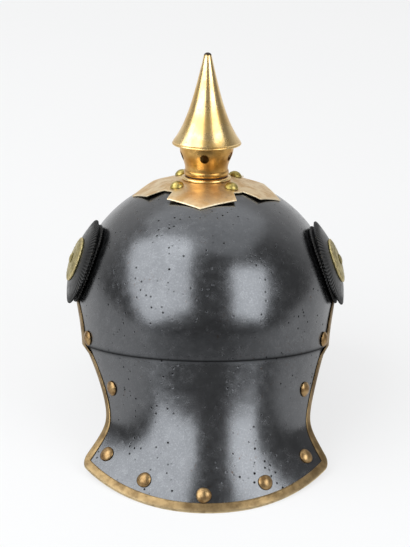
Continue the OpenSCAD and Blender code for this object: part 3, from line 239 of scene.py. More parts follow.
def stitches(spots, along, out, length, radius):
    """Short threads, one at each spot: each rises out of the surface in a flat arc, and its ends
    dip under it and grow thin."""
    rise, dip = 0.35, 0.15
    k = np.linspace(-1, 1, 9)[:, None]
    return gather([cord(p + k * length / 2 * a + (rise * np.sqrt(1 - k * k) - dip) * n,
                        radius * np.sqrt(np.maximum(1 - k[:, 0] ** 6, 0.05)), up=np.cross(a, n),
                        sides=8)
                   for p, a, n in zip(spots, along, out)])


def placed(name, data):
    """A new object of the scene."""
    item = bpy.data.objects.new(name, data)
    bpy.context.scene.collection.objects.link(item)
    return item


def merged_mesh(name, part, origin, wear=None):
    """Mesh of a part's points and quads, brought to metres by origin, its doubles merged."""
    points, faces = part
    mesh = bpy.data.meshes.new(name)
    mesh.from_pydata(origin(points).tolist(), [], [list(dict.fromkeys(f)) for f in faces.tolist()])
    if wear is not None:
        mesh.attributes.new("wear", "FLOAT", "POINT").data.foreach_set(
            "value", np.ravel(wear).astype(np.float32))
    work = bmesh.new()
    work.from_mesh(mesh)
    bmesh.ops.remove_doubles(work, verts=work.verts, dist=MERGE)
    bmesh.ops.dissolve_degenerate(work, edges=work.edges, dist=SLIVER)
    work.to_mesh(mesh)
    work.free()
    return mesh


def shade(mesh, sharp):
    """Smooth but for edges over an angle in degrees."""
    mesh.polygons.foreach_set("use_smooth", [True] * len(mesh.polygons))
    mesh.set_sharp_from_angle(angle=math.radians(sharp))


def add_piece(name, part, material, nodes, wear=None, sharp=38, origin=stood):
    """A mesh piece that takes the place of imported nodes. wear is a number from 0 to 1 for each
    point, which its material may read."""
    mesh = merged_mesh(name, part, origin, wear)
    shade(mesh, sharp)
    mesh.materials.append(material)
    piece = placed(name, mesh)
    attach(piece, BODY[nodes[0]])
    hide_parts(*nodes)
    return piece


# ---- materials
def tone(code):
    """sRGB hex to linear colour."""
    c = np.array([int(code[i:i + 2], 16) for i in (1, 3, 5)]) / 255
    return tuple(np.where(c <= 0.04045, c / 12.92, ((c + 0.055) / 1.055) ** 2.4)) + (1.0,)


def add(mat, kind, inputs=None, **settings):
    """Adds a node: settings are its properties, and inputs are values or sockets that feed it."""
    n = mat.node_tree.nodes.new(kind)
    for key, value in settings.items():
        setattr(n, key, value)
    for key, value in (inputs or {}).items():
        if isinstance(value, bpy.types.NodeSocket):
            mat.node_tree.links.new(value, n.inputs[key])
        else:
            n.inputs[key].default_value = value
    return n


def new_material(name):
    """Material with an empty shader; the object's own metres feed its patterns."""
    mat = bpy.data.materials.new(name)
    mat.use_nodes = True
    shader = mat.node_tree.nodes["Principled BSDF"]
    place = add(mat, "ShaderNodeTexCoord").outputs["Object"]
    return mat, shader, place


def link(mat, source, target):
    """Feeds a socket from another."""
    mat.node_tree.links.new(source, target)


def noise(mat, place, size_mm, detail=3.0, rough=0.5, distortion=0.0):
    """Noise whose blotches are about size_mm across."""
    return add(mat, "ShaderNodeTexNoise", {
        "Vector": place, "Scale": 1000 / size_mm, "Detail": detail, "Roughness": rough,
        "Distortion": distortion}).outputs["Fac"]


def band(mat, value, low, high, a=0.0, b=1.0):
    """Maps a value from low..high to a..b, softly and clamped."""
    return add(mat, "ShaderNodeMapRange", {
        "Value": value, "From Min": low, "From Max": high, "To Min": a, "To Max": b},
        interpolation_type="SMOOTHSTEP").outputs["Result"]


def blend_colour(mat, share, a, b):
    """Colour a, turning to b as the share goes from 0 to 1."""
    n = add(mat, "ShaderNodeMix", data_type="RGBA")
    for key, value in (("Factor_Float", share), ("A_Color", a), ("B_Color", b)):
        socket = next(s for s in n.inputs if s.identifier == key)
        if isinstance(value, bpy.types.NodeSocket):
            link(mat, value, socket)
        else:
            socket.default_value = value
    return next(s for s in n.outputs if s.identifier == "Result_Color")


def bump(mat, height, depth_mm, normal=None, invert=False):
    """Raises a pattern by depth_mm; a normal feeds it to lay one pattern on another."""
    n = add(mat, "ShaderNodeBump", {"Height": height, "Strength": 1.0,
                                    "Distance": depth_mm / 1000}, invert=invert)
    if normal is not None:
        link(mat, normal, n.inputs["Normal"])
    return n.outputs["Normal"]


def figure(mat, a, b, operation="MULTIPLY"):
    """Product of two numbers or sockets, or what another operation makes of them."""
    return add(mat, "ShaderNodeMath", {0: a, 1: b}, operation=operation).outputs[0]


def wear_of(mat):
    """The wear that add_piece gives a piece's points, and 0 where it gives none."""
    return add(mat, "ShaderNodeAttribute", attribute_name="wear").outputs["Fac"]


def burnished_steel():
    """Steel browned and burnished to near black: metal under oxide and wax, so a dark metal with
    a satin sheen, mottled by handling, with small black pits, a few brown freckles, and near black
    along the seams where wear is given: dirt, with painted shade under the skull's edge."""
    cloud_mm, mottle_mm, grain_mm, wave_mm, fine_mm = 55, 7, 1.2, 22, 1.1
    pit_mm, pitted_mm, freckle_mm, freckled_mm = 4.0, 24, 2.6, 40
    mat, shader, place = new_material("burnished_steel")
    mottle = noise(mat, place, mottle_mm, 6, 0.7)
    # A pit sits in a few cells of a few patches, and its depth differs from cell to cell
    cells = add(mat, "ShaderNodeTexVoronoi", {"Vector": place, "Scale": 1000 / pit_mm}).outputs
    picked = add(mat, "ShaderNodeSeparateColor", {"Color": cells["Color"]}).outputs["Red"]
    pits = figure(mat, figure(mat, band(mat, cells["Distance"], 0.1, 0.27, 1.0, 0.0),
                              band(mat, picked, 0.4, 0.7)),
                  band(mat, noise(mat, place, pitted_mm, 2, 0.5), 0.44, 0.6))
    freckles = figure(mat, band(mat, noise(mat, place, freckle_mm, 3, 0.6), 0.62, 0.72),
                      band(mat, noise(mat, place, freckled_mm, 1, 0.5), 0.5, 0.66))
    clouds = band(mat, noise(mat, place, cloud_mm, 3, 0.55), 0.35, 0.65)
    grains = band(mat, noise(mat, place, grain_mm, 2, 0.6), 0.48, 0.75, 0.0, 0.4)
    # The seams are painted near black: dirt, and painted shade where the skull's edge overhangs
    dirt_and_shade = wear_of(mat)
    ground = blend_colour(mat, clouds, tone("#5c5d5f"), tone("#646567"))
    for share, code in ((band(mat, mottle, 0.45, 0.7, 0.0, 0.35), "#77787a"), (grains, "#7d7e80"),
                        (figure(mat, freckles, 0.75), "#4d3c30"), (pits, "#08080a"),
                        (dirt_and_shade, "#050505")):
        ground = blend_colour(mat, share, ground, tone(code))
    link(mat, ground, shader.inputs["Base Color"])
    shader.inputs["Metallic"].default_value = 1.0
    rough = figure(mat, band(mat, mottle, 0.3, 0.75, 0.21, 0.29), figure(mat, pits, 0.35), "ADD")
    link(mat, figure(mat, rough, figure(mat, dirt_and_shade, 0.5), "ADD"), shader.inputs["Roughness"])
    fine = bump(mat, noise(mat, place, fine_mm, 4, 0.65), 0.03)
    wavy = bump(mat, noise(mat, place, wave_mm, 2, 0.5), 0.25, fine)
    link(mat, bump(mat, pits, 0.2, wavy, invert=True), shader.inputs["Normal"])
    return mat


def brass(name, bright, dull, dark, rough, spread=0.12, blotch=11, edge=None, dents=0.06):
    """Brass sheet or casting: yellow metal that has gone from bright to dull in blotches, with
    dark specks where it has tarnished most, and another tone on its edges where wear is given."""
    speck_mm, dent_mm, rub_mm = 1.6, 6, 5
    mat, shader, place = new_material(name)
    patch = noise(mat, place, blotch, 4, 0.6)
    speck = noise(mat, place, speck_mm, 3, 0.6)
    ground = blend_colour(mat, band(mat, patch, 0.36, 0.66), tone(bright), tone(dull))
    ground = blend_colour(mat, band(mat, speck, 0.6, 0.76, 0.0, 0.75), ground, tone(dark))
    if edge:
        rubbed = band(mat, noise(mat, place, rub_mm, 3, 0.6), 0.3, 0.55, 0.35, 1.0)
        ground = blend_colour(mat, figure(mat, wear_of(mat), rubbed), ground, tone(edge))
    link(mat, ground, shader.inputs["Base Color"])
    shader.inputs["Metallic"].default_value = 1.0
    link(mat, band(mat, patch, 0.3, 0.7, rough, rough + spread), shader.inputs["Roughness"])
    fine = bump(mat, speck, 0.02)
    link(mat, bump(mat, noise(mat, place, dent_mm, 2, 0.5), dents, fine), shader.inputs["Normal"])
    return mat


def black_lacquer():
    """Black oven lacquer on stamped sheet: a smooth deep gloss, rubbed brown on a few teeth."""
    rub_mm, cloud_mm = 3.5, 7
    mat, shader, place = new_material("black_lacquer")
    rub = noise(mat, place, rub_mm, 4, 0.65)
    chipped = figure(mat, wear_of(mat), band(mat, rub, 0.6, 0.7))
    ground = blend_colour(mat, band(mat, noise(mat, place, cloud_mm), 0.4, 0.7), tone("#070707"),
                          tone("#0e0e0d"))
    link(mat, blend_colour(mat, chipped, ground, tone("#5d564c")), shader.inputs["Base Color"])
    link(mat, band(mat, rub, 0.3, 0.7, 0.24, 0.38), shader.inputs["Roughness"])
    shader.inputs["Specular IOR Level"].default_value = 0.25
    link(mat, bump(mat, rub, 0.02), shader.inputs["Normal"])
    return mat


def leather(name, light, dark, grain_mm, rough, crease=0.12, edge=None):
    """Vegetable-tanned leather: a cell-like grain with fine creases, darker where handled and
    paler along cut edges where wear is given."""
    patch_mm, crease_mm = 16, 7
    mat, shader, place = new_material(name)
    patch = noise(mat, place, patch_mm, 4, 0.6)
    cells = add(mat, "ShaderNodeTexVoronoi", {"Vector": place, "Scale": 1000 / grain_mm},
                feature="DISTANCE_TO_EDGE").outputs["Distance"]
    grain = band(mat, cells, 0.0, 0.22)
    ground = blend_colour(mat, band(mat, patch, 0.35, 0.68), tone(light), tone(dark))
    ground = blend_colour(mat, band(mat, grain, 0.0, 1.0, 0.45, 0.0), ground, tone(dark))
    if edge:
        rubbed = figure(mat, wear_of(mat), band(mat, patch, 0.3, 0.6, 0.3, 0.9))
        ground = blend_colour(mat, rubbed, ground, tone(edge))
    link(mat, ground, shader.inputs["Base Color"])
    link(mat, band(mat, patch, 0.3, 0.7, rough, rough + 0.18), shader.inputs["Roughness"])
    creases = bump(mat, noise(mat, place, crease_mm, 4, 0.6, 0.4), crease * 2)
    link(mat, bump(mat, grain, crease, creases), shader.inputs["Normal"])
    return mat


STEEL = burnished_steel()
TRIM = brass("tarnished_trim_brass", "#927b57", "#6b573b", "#42331f", 0.42, edge="#d8c49c")
RIVET = brass("worn_rivet_brass", "#a98c62", "#7b5f3d", "#49352a", 0.32, blotch=5, edge="#c9b285")
BASE = brass("matt_sheet_brass", "#ead2a8", "#cfab76", "#7d6340", 0.36, edge="#f0e0c0")
POLISHED = brass("polished_spike_brass", "#f0d39b", "#dbb570", "#8d6a36", 0.22, spread=0.1,
                 blotch=20, dents=0.03)
POINT = brass("darkened_point_brass", "#f0d39b", "#dbb570", "#8d6a36", 0.22, spread=0.1,
              blotch=20, edge="#3d342c", dents=0.03)
COPPERY = brass("coppery_neck_brass", "#cfa460", "#b08342", "#6b4a24", 0.26, blotch=14)
STUD = brass("greenish_stud_brass", "#c4b06a", "#958546", "#58502c", 0.34, blotch=4)
PALE = brass("olive_rosette_brass", "#b3a673", "#8a7f56", "#4f4630", 0.4, blotch=6,
             edge="#cdbb8b")
LACQUER = black_lacquer()
BACKING = leather("blacked_leather", "#2a2a2b", "#171718", 0.9, 0.55, edge="#3a3836")
STRAP = leather("brown_strap_leather", "#4a2f1e", "#2b1a10", 1.0, 0.45, edge="#6d4a30")
LINER = leather("liner_leather", "#9a6c44", "#6f4a2d", 1.3, 0.6, edge="#b08258")
LACE = leather("lace_leather", "#7d5b3c", "#4d3420", 0.8, 0.6)
THREAD = leather("waxed_linen_thread", "#c9b48c", "#a08a63", 0.5, 0.7, 0.03)


# ---- the skull
def skull_normal(p):
    """Outward normal of the dome or of the straight wall below it: the ellipsoid's gradient."""
    p = np.asarray(p, float)
    return unit(np.stack([p[..., 0] / HALF[0] ** 2, p[..., 1] / HALF[1] ** 2,
                          np.maximum(p[..., 2], 0) / HALF[2] ** 2], -1))


def dome_z(x, y):
    """Height of the dome over a point: the ellipsoid's equation solved for Z."""
    return HALF[2] * np.sqrt(np.maximum(1 - (x / HALF[0]) ** 2 - (y / HALF[1]) ** 2, 0))


def side_point(side, y, z):
    """Point of the skull's side at a place along it and a height: the equation solved for X."""
    x = HALF[0] * np.sqrt(1 - (y / HALF[1]) ** 2 - (np.maximum(z, 0) / HALF[2]) ** 2)
    return np.stack(np.broadcast_arrays(side * x, y, z), -1)


def brow_y(x, z):
    """How far forward the forehead stands at a place across it and a height: solved for Y."""
    return HALF[1] * np.sqrt(1 - (x / HALF[0]) ** 2 - (np.maximum(z, 0) / HALF[2]) ** 2)


def uneven(p, size, depth):
    """Shallow unevenness of beaten sheet: three slow waves that cross each other."""
    q = p / size
    return depth * (np.sin(q[..., 0] * 1.1 + q[..., 1] * 0.4 + 0.7) * np.sin(q[..., 2] * 0.9 + 1.9)
                    + 0.6 * np.sin(q[..., 1] * 1.7 - q[..., 0] * 0.8 + q[..., 2] * 1.3))


def rim_z(y):
    """Height of the skull's lower edge: brow, arch over the ear, rising seam at the nape."""
    arch = EAR_Z + np.sqrt(np.maximum(EAR_R ** 2 - (y + EAR_BACK) ** 2, 0))
    nape = -NAPE_DROP - SEAM_SLOPE * (HALF[1] + y)
    return np.where(y < EAR_REAR, nape, np.where(y > EAR_FRONT, -BROW_DROP, arch))


def skull_columns():
    """Angles about Z. Over the ears they follow the arch, so that its curve stays round."""
    over_ear = np.arcsin((-EAR_BACK - EAR_R * np.cos(np.linspace(EAR_LOW, math.pi - EAR_LOW, 70)))
                         / HALF[1])
    right = np.concatenate([np.linspace(-math.pi / 2, over_ear[0], 70)[:-1], over_ear,
                            np.linspace(over_ear[-1], math.pi / 2, 60)[1:]])
    return np.concatenate([right, (math.pi - right)[::-1][1:-1]])


def skull_skin(a, k, inset):
    """Skull's surface set in by a distance: a is the angle about Z, and k the share of the way
    from the bore at the crown down the ellipsoid and the straight wall to the rim."""
    half = HALF - inset
    low = rim_z(HALF[1] * np.sin(a))
    low = np.where(low < 0, low, HALF[2] * np.arcsin(np.clip(low / HALF[2], 0, 1)))
    reach = np.hypot(HALF[0] * np.cos(a), HALF[1] * np.sin(a))
    high = HALF[2] * np.arccos((SPIGOT_R + RUN) / reach)
    s = high + (low - high) * k
    rise = np.maximum(s, 0) / HALF[2]
    return np.stack([half[0] * np.cos(rise) * np.cos(a), half[1] * np.cos(rise) * np.sin(a),
                     np.where(s < 0, s, half[2] * np.sin(rise))], -1)


def make_skull():
    """Raised sheet: its outer skin is a little uneven from the hammer, but stays inside the
    packed surface, and evens out towards the bore. Its rim is painted dark: dirt and painted
    shade in the seam."""
    sunk, column_mm, dirt_and_shade_mm = 0.15, 110, 0.9
    a = skull_columns()[None, :]
    k = np.linspace(0, 1, 90)[:, None]
    outer = skull_skin(a, k, 0.0)
    hammered = skull_normal(outer) * (uneven(outer, 21.0, 0.12) - sunk)[..., None]
    outer = outer + hammered * smooth(k * 6)[..., None]
    # Painted shade and dirt: near black at the rim, fading over about a millimetre up the sheet
    dirt_and_shade = np.exp(-(1 - k) * column_mm / dirt_and_shade_mm) + 0 * a
    add_piece("skull_sheet", shell(outer, skull_skin(a, k, SKULL_T), ring=True), STEEL, ["skull"],
              wear=np.concatenate([dirt_and_shade.ravel(), 0 * dirt_and_shade.ravel()]))


# ---- neck guard and visor
def bend(v, lean, reach, flare):
    """A straight lean that turns softly into a flare and reaches a distance at the lip: the lean
    grows with v, and the flare with one branch of a hyperbola."""
    at, turn = flare

    def eased(v):
        """The hyperbola: near 0 before the turn, and a straight rise after it."""
        return (v - at + np.sqrt((v - at) ** 2 + turn ** 2)) / 2
    return lean * v + (reach - lean) * (eased(v) - eased(0.0)) / (eased(1.0) - eased(0.0))


SEAM_ANGLE = math.acos(-EAR_REAR / HALF[1])
FOOT_ANGLE = math.acos(CORNER_BACK / (HALF[1] + TAIL_REACH))
CORNER_A = CORNER_W / 2 / math.sin(FOOT_ANGLE)
TAIL_Z = -NAPE_DROP - GUARD_DROP


def seam_z(t):
    """Height of the seam between skull and guard: a straight slope along the helmet's length, up
    from the nape to the ears."""
    return -NAPE_DROP - SEAM_SLOPE * HALF[1] * (1 - np.cos(t * SEAM_ANGLE))


def guard_point(t, v):
    """Neck guard: t from -1 at the left edge to 1 at the right, v from the seam to the lip. Each
    level is part of an ellipse about Z: bend() gives its half sizes, and it widens to the foot."""
    g = t * (SEAM_ANGLE + (FOOT_ANGLE - SEAM_ANGLE) * np.maximum(v, 0) ** SPREAD_POWER)
    foot_z = TAIL_Z + CORNER_RISE * np.abs(t) ** CORNER_POWER
    z = seam_z(t) - GAP + (foot_z - seam_z(t) + GAP) * v
    bow = SIDE_BOW * np.sin(math.pi * np.maximum(v, 0))
    return np.stack(np.broadcast_arrays(
        bow + (HALF[0] - TUCK + bend(v, -SIDE_LEAN, CORNER_A - HALF[0] + TUCK, SIDE_FLARE))
        * np.sin(g),
        -(HALF[1] - TUCK + bend(v, NAPE_LEAN, TAIL_REACH + TUCK, NAPE_FLARE)) * np.cos(g), z), -1)


def guard_flange(t, k):
    """The guard's flange on the skull's elliptic wall: k from 0 at the seam to 1 at its top."""
    g = t * FLANGE_SHARE * SEAM_ANGLE
    return np.stack(np.broadcast_arrays(
        (HALF[0] - TUCK) * np.sin(g), -(HALF[1] - TUCK) * np.cos(g),
        seam_z(t * FLANGE_SHARE) + k * GUARD_TUCK), -1)


VISOR_ANGLE = math.acos(EAR_FRONT / HALF[1])


def visor_point(t, v):
    """Visor: t from -1 at the right end to 1 at the left, v from the brow to the lip. Its reach and
    its fall grow evenly to the lip and go with the cosine of the angle from the middle, and a
    parabola crowns it a little across its depth."""
    g = t * VISOR_ANGLE
    drop = np.cos(g)
    z = -BROW_DROP - GAP - VISOR_FALL * drop * v + VISOR_CROWN * 4 * v * (1 - v) * drop
    return np.stack(np.broadcast_arrays(
        -(HALF[0] - TUCK + (TUCK + 1) * v) * np.sin(g),
        (HALF[1] - TUCK + (TUCK + VISOR_L) * v) * drop, z), -1)


def visor_flange(t, k):
    """The visor's flange on the brow's elliptic wall: k from 0 at the edge to 1 at its top."""
    g = t * FLANGE_SHARE * VISOR_ANGLE
    return np.stack(np.broadcast_arrays(
        -(HALF[0] - TUCK) * np.sin(g), (HALF[1] - TUCK) * np.cos(g),
        -BROW_DROP + k * VISOR_TUCK), -1)


def normal_of(f, t, v, h=0.002):
    """Normal of a surface of two parameters, from small steps to both sides."""
    return unit(np.cross(f(t, v + h) - f(t, v - h), f(t + h, v) - f(t - h, v)))


def corner_share(v, rt, rv):
    """Share of the half width that a rounded corner, a quarter of an ellipse, leaves at v."""
    k = np.clip((v - 1 + rv) / rv, 0, 1)
    return 1 - rt * (1 - np.sqrt(1 - k * k))


GUARD_RT = CORNER_R / (CORNER_A * FOOT_ANGLE)
GUARD_RV = CORNER_R / (GUARD_DROP - CORNER_RISE - (BROW_DROP - NAPE_DROP))
VISOR_RT = VISOR_CORNER_R / (HALF[1] * VISOR_ANGLE)
VISOR_RV = VISOR_CORNER_R / float(np.linalg.norm(visor_point(1, 1) - visor_point(1, 0)))


def hung_sheet(f, flange, heights, cols, rows, rt, rv, thick):
    """Sheet that hangs from a tucked flange, its inner skin set in along the normal. Its sides
    end in rounded corners, and it is a little uneven but for its seam."""
    corner_n, wave_mm, wave_deep = 8, 17.0, 0.1
    t = np.linspace(-1, 1, cols)[None, :]
    v = np.concatenate([np.linspace(0, 1 - rv, rows),
                        1 - rv + rv * np.sin(np.linspace(0, math.pi / 2, corner_n)[1:])])[:, None]
    k = np.asarray(heights)[:, None]
    up = flange(t, k)
    t = t * corner_share(v, rt, rv)
    down, n = f(t, v), normal_of(f, t, v)
    down = down + n * uneven(down, wave_mm, wave_deep)[..., None] * smooth(v * 5)[..., None]
    wall = unit(np.stack([up[..., 0] / HALF[0] ** 2, up[..., 1] / HALF[1] ** 2,
                          np.zeros(up.shape[:2])], -1))
    return shell(np.concatenate([up, down]),
                 np.concatenate([up - wall * thick, down - n * thick]))


def seam_dirt_and_shade(part, cols, rows, tucked, drop):
    """Dirt and painted shade along a hung sheet's top rows, where it comes out from under the
    skull's edge: it fades exponentially down the sheet."""
    dirt_and_shade_mm = 1.1
    # Painted shade with dirt: full on the tucked rows, then fading down from under the skull's edge
    row = np.concatenate([np.ones(tucked), np.exp(-np.linspace(0, 1, rows) * drop / dirt_and_shade_mm),
                          np.zeros(len(part[0]) // cols // 2 - tucked - rows)])
    return np.tile(np.repeat(row, cols), 2)


def make_guards():
    """Neck guard and visor: each hangs from a flange that is tucked up inside the skull."""
    for name, node, f, flange, heights, cols, rows, rt, rv, thick, drop in (
            ("neck_guard_sheet", "neck_guard", guard_point, guard_flange, [1, 0.6, 0.25], 240, 90,
             GUARD_RT, GUARD_RV, GUARD_T, GUARD_DROP),
            ("visor_sheet", "visor", visor_point, visor_flange, [1, 0.6, 0.3], 220, 44,
             VISOR_RT, VISOR_RV, VISOR_T, VISOR_L)):
        part = hung_sheet(f, flange, heights, cols, rows, rt, rv, thick)
        add_piece(name, part, STEEL, [node], wear=seam_dirt_and_shade(part, cols, rows, len(heights), drop))


# ---- edge trim
def edge_path(f, rt, rv, v0, side_n, lip_n):
    """Edge of a sheet, down its left side, along its lip and up again, as points on the edge,
    points a trim's width inside it, and the normals at both."""
    h, corner_n = 0.01, 8

    def wide_t(t, v):
        """The trim's width as a step of t."""
        return TRIM_W * h / np.linalg.norm(f(t, v) - f(t - np.sign(t) * h, v), axis=-1)

    def wide_v(t):
        """The trim's width as a step of v, at the lip."""
        return TRIM_W * h / np.linalg.norm(f(t, 1.0) - f(t, 1 - h), axis=-1)

    in_v = 1 - float(wide_v(np.float64(1 - rt)))
    in_t = 1 - float(wide_t(np.float64(1), in_v))

    def side(s):
        """One side from the top down and its round corner, as t and v on the edge and inside."""
        v = np.linspace(v0, 1 - rv, side_n)
        c = np.linspace(0, math.pi / 2, corner_n)[1:-1]
        return np.concatenate([
            np.stack([np.full_like(v, s), v, s * (1 - wide_t(np.full_like(v, s), v)),
                      np.minimum(v, in_v)], -1),
            np.stack([s * (1 - rt * (1 - np.cos(c))), 1 - rv * (1 - np.sin(c)),
                      np.full_like(c, s * in_t), np.full_like(c, in_v)], -1)])

    t = np.linspace(-1 + rt, 1 - rt, lip_n)
    lip = np.stack([t, np.ones_like(t), np.sign(t) * np.minimum(np.abs(t), in_t), 1 - wide_v(t)],
                   -1)
    t, v, ti, vi = np.concatenate([side(-1), lip, side(1)[::-1]]).T
    return f(t, v), f(ti, vi), normal_of(f, t, v), normal_of(f, ti, vi)


def ear_edge(side, angles):
    """The same for the arch over an ear: two circles about its middle, along its angles."""
    p = side_point(side, -EAR_BACK - EAR_R * np.cos(angles), EAR_Z + EAR_R * np.sin(angles))
    wide = EAR_R + TRIM_W
    q = side_point(side, -EAR_BACK - wide * np.cos(angles), EAR_Z + wide * np.sin(angles))
    return p, q, skull_normal(p), skull_normal(q)


def trim_outline(thick):
    """U-shaped section of the trim on a sheet, as (distance in from the edge, height): a lower
    leg 1 mm short of the upper one, a round bead outside the edge, and a hem that thins out."""
    short, hem, hem_fall = 1, 3, 0.12
    inside, high = -thick - SEAT, TRIM_OVER
    low = inside - TRIM_T
    mid, r = (high + low) / 2, (high - low) / 2
    a = np.linspace(-math.pi / 2, math.pi / 2, 17)
    bead = np.stack([(0.3 - 0.97 * np.cos(a)) * r - GAP, mid + r * np.sin(a)], -1)
    x = np.linspace(1.2, TRIM_W - 0.9, 8)
    top = np.stack([x, high - hem_fall * smooth((x - TRIM_W + hem) / hem)], -1)
    return np.concatenate([
        [[TRIM_W, GAP], [-GAP, GAP], [-GAP, inside], [TRIM_W - short, inside],
         [TRIM_W - short, low]],
        bead, top, [[TRIM_W - 0.3, high - 0.28], [TRIM_W, high - 0.55]]])


def trim_rings(edge, thick):
    """The trim's section, for one thickness a station, laid over each station of an edge: its
    heights go along the normals, its distances straight from the edge to the line inside it."""
    p, q, n, m = (x[:, None, :] for x in edge)
    section = np.stack([trim_outline(t) for t in np.broadcast_to(thick, len(p))])
    k, h = section[..., :1] / TRIM_W, section[..., 1:]
    return (p + h * n) * (1 - k) + (q + h * m) * k


def trim_wear(rings):
    """Wear is strongest on the bead's outer shoulder and fades over a few points of the section."""
    shoulder, spread = 14, 5.0
    along = np.exp(-((np.arange(rings.shape[1]) - shoulder) / spread) ** 2)
    return np.concatenate([np.tile(along, rings.shape[0]), [0, 0]])


def floor_clip(points):
    """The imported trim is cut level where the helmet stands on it."""
    metres = stood(points)
    metres[:, 2] = np.maximum(metres[:, 2], 0)
    return metres


def make_trims():
    """Brass edging. Each ear's arch joins the guard's edge, so theirs is one piece."""
    arch_n, lip_n = 60, 200
    low = EAR_LOW + math.radians(0.5)
    angles = np.linspace(low, math.pi - low, arch_n)
    # Where an arch meets the rim, the trim also grips the sheet tucked inside the skull
    grip = np.full(arch_n, SKULL_T)
    grip[[0, -1]] = TUCK + GUARD_T
    guard_edge = edge_path(guard_point, GUARD_RT, GUARD_RV, (1 - GUARD_RV) / 15, 60, lip_n)
    visor_edge = edge_path(visor_point, VISOR_RT, VISOR_RV, 0.45, 12, lip_n)
    for name, node, rings in (
            ("neck_guard_edging", "neck_guard_trim", np.concatenate([
                trim_rings(ear_edge(-1, angles[::-1]), grip), trim_rings(guard_edge, GUARD_T),
                trim_rings(ear_edge(1, angles), grip)])),
            ("visor_edging", "visor_trim", trim_rings(visor_edge, VISOR_T))):
        add_piece(name, tube(rings), TRIM, [node], wear=trim_wear(rings), origin=floor_clip)


# ---- rivets and their spots
GUARD_SPOTS = np.array([[-0.03, 0.9], [-0.49, 0.87], [0.44, 0.87], [-0.86, 0.84], [0.84, 0.84],
                        [-0.84, 0.31], [0.84, 0.31]])
VISOR_SPOTS = np.radians([-50, -25, 0, 25, 50])


def shanked(head, shank_d, depth):
    """Adds a plain shank under a head's flat side, clenched at its end to 1.7 times its width."""
    top, shank, clench = head[-1][1], shank_d / 2, shank_d * 1.7 / 2
    return np.concatenate([head[:-1], [
        [shank, top], [shank, -depth], [clench, -depth], [clench * 0.8, -depth - shank_d * 0.3],
        [0, -depth - shank_d / 2]]])


def make_rivets():
    """Domed heads. Those of the guard are each a little different: a low wave runs round them."""
    head_d, shank_d, wave = 11.5, 3.0, 0.02
    t, v = GUARD_SPOTS.T
    spots = list(zip(guard_point(t, v), normal_of(guard_point, t, v)))
    # Two more sit behind the ears, just clear of the arches' trim
    reach, at = EAR_R + TRIM_W + head_d / 2 + SEAT, math.radians(15.5)
    ear = side_point(1.0, -EAR_BACK - reach * math.cos(at), EAR_Z + reach * math.sin(at))
    spots += [(ear, skull_normal(ear)), (mirrored(ear), mirrored(skull_normal(ear)))]
    parts = []
    for i, (p, n) in enumerate(spots):
        points, faces = turned(shanked(dome(head_d, 2.8, 0.5, SEAT), shank_d, 2.3), 64)
        r, a = np.hypot(points[:, 0], points[:, 1]), np.arctan2(points[:, 1], points[:, 0])
        points[:, :2] *= (1 - wave * (1 + np.sin(3 * a + 2.1 * i)) * (r > shank_d))[:, None]
        parts.append(set_on((points, faces), p, n))
    add_piece("guard_rivet_heads", gather(parts), RIVET, ["neck_guard_rivets"], sharp=50)

    head = turned(shanked(dome(6, 2, 0.4, SEAT), 2.4, 3.0), 48)
    spots = np.stack([HALF[0] * np.sin(VISOR_SPOTS), HALF[1] * np.cos(VISOR_SPOTS),
                      np.full(len(VISOR_SPOTS), -BROW_DROP + VISOR_TUCK / 2)], -1)
    add_piece("visor_rivet_heads", gather([set_on(head, p, skull_normal(p)) for p in spots]),
              RIVET, ["visor_rivets"], sharp=50)


# ---- cross base and spike
def cross_radius(at):
    """Radius of an arm's outline at an angle from its middle: straight from the point to the
    corner, straight on to the root, then the round hub."""
    tip, corner = np.array([ARM_TIP, 0.0]), np.array(ARM_CORNER)
    root = np.array([math.sqrt(HUB_R ** 2 - ROOT_HALF ** 2), ROOT_HALF])

    def line(a, b):
        """Radius at which the straight line through two points is met."""
        d = b - a
        return (a[0] * d[1] - a[1] * d[0]) / (np.cos(at) * d[1] - np.sin(at) * d[0])
    return np.where(at < CORNER_AT, line(tip, corner),
                    np.where(at < ROOT_AT, line(corner, root), HUB_R))


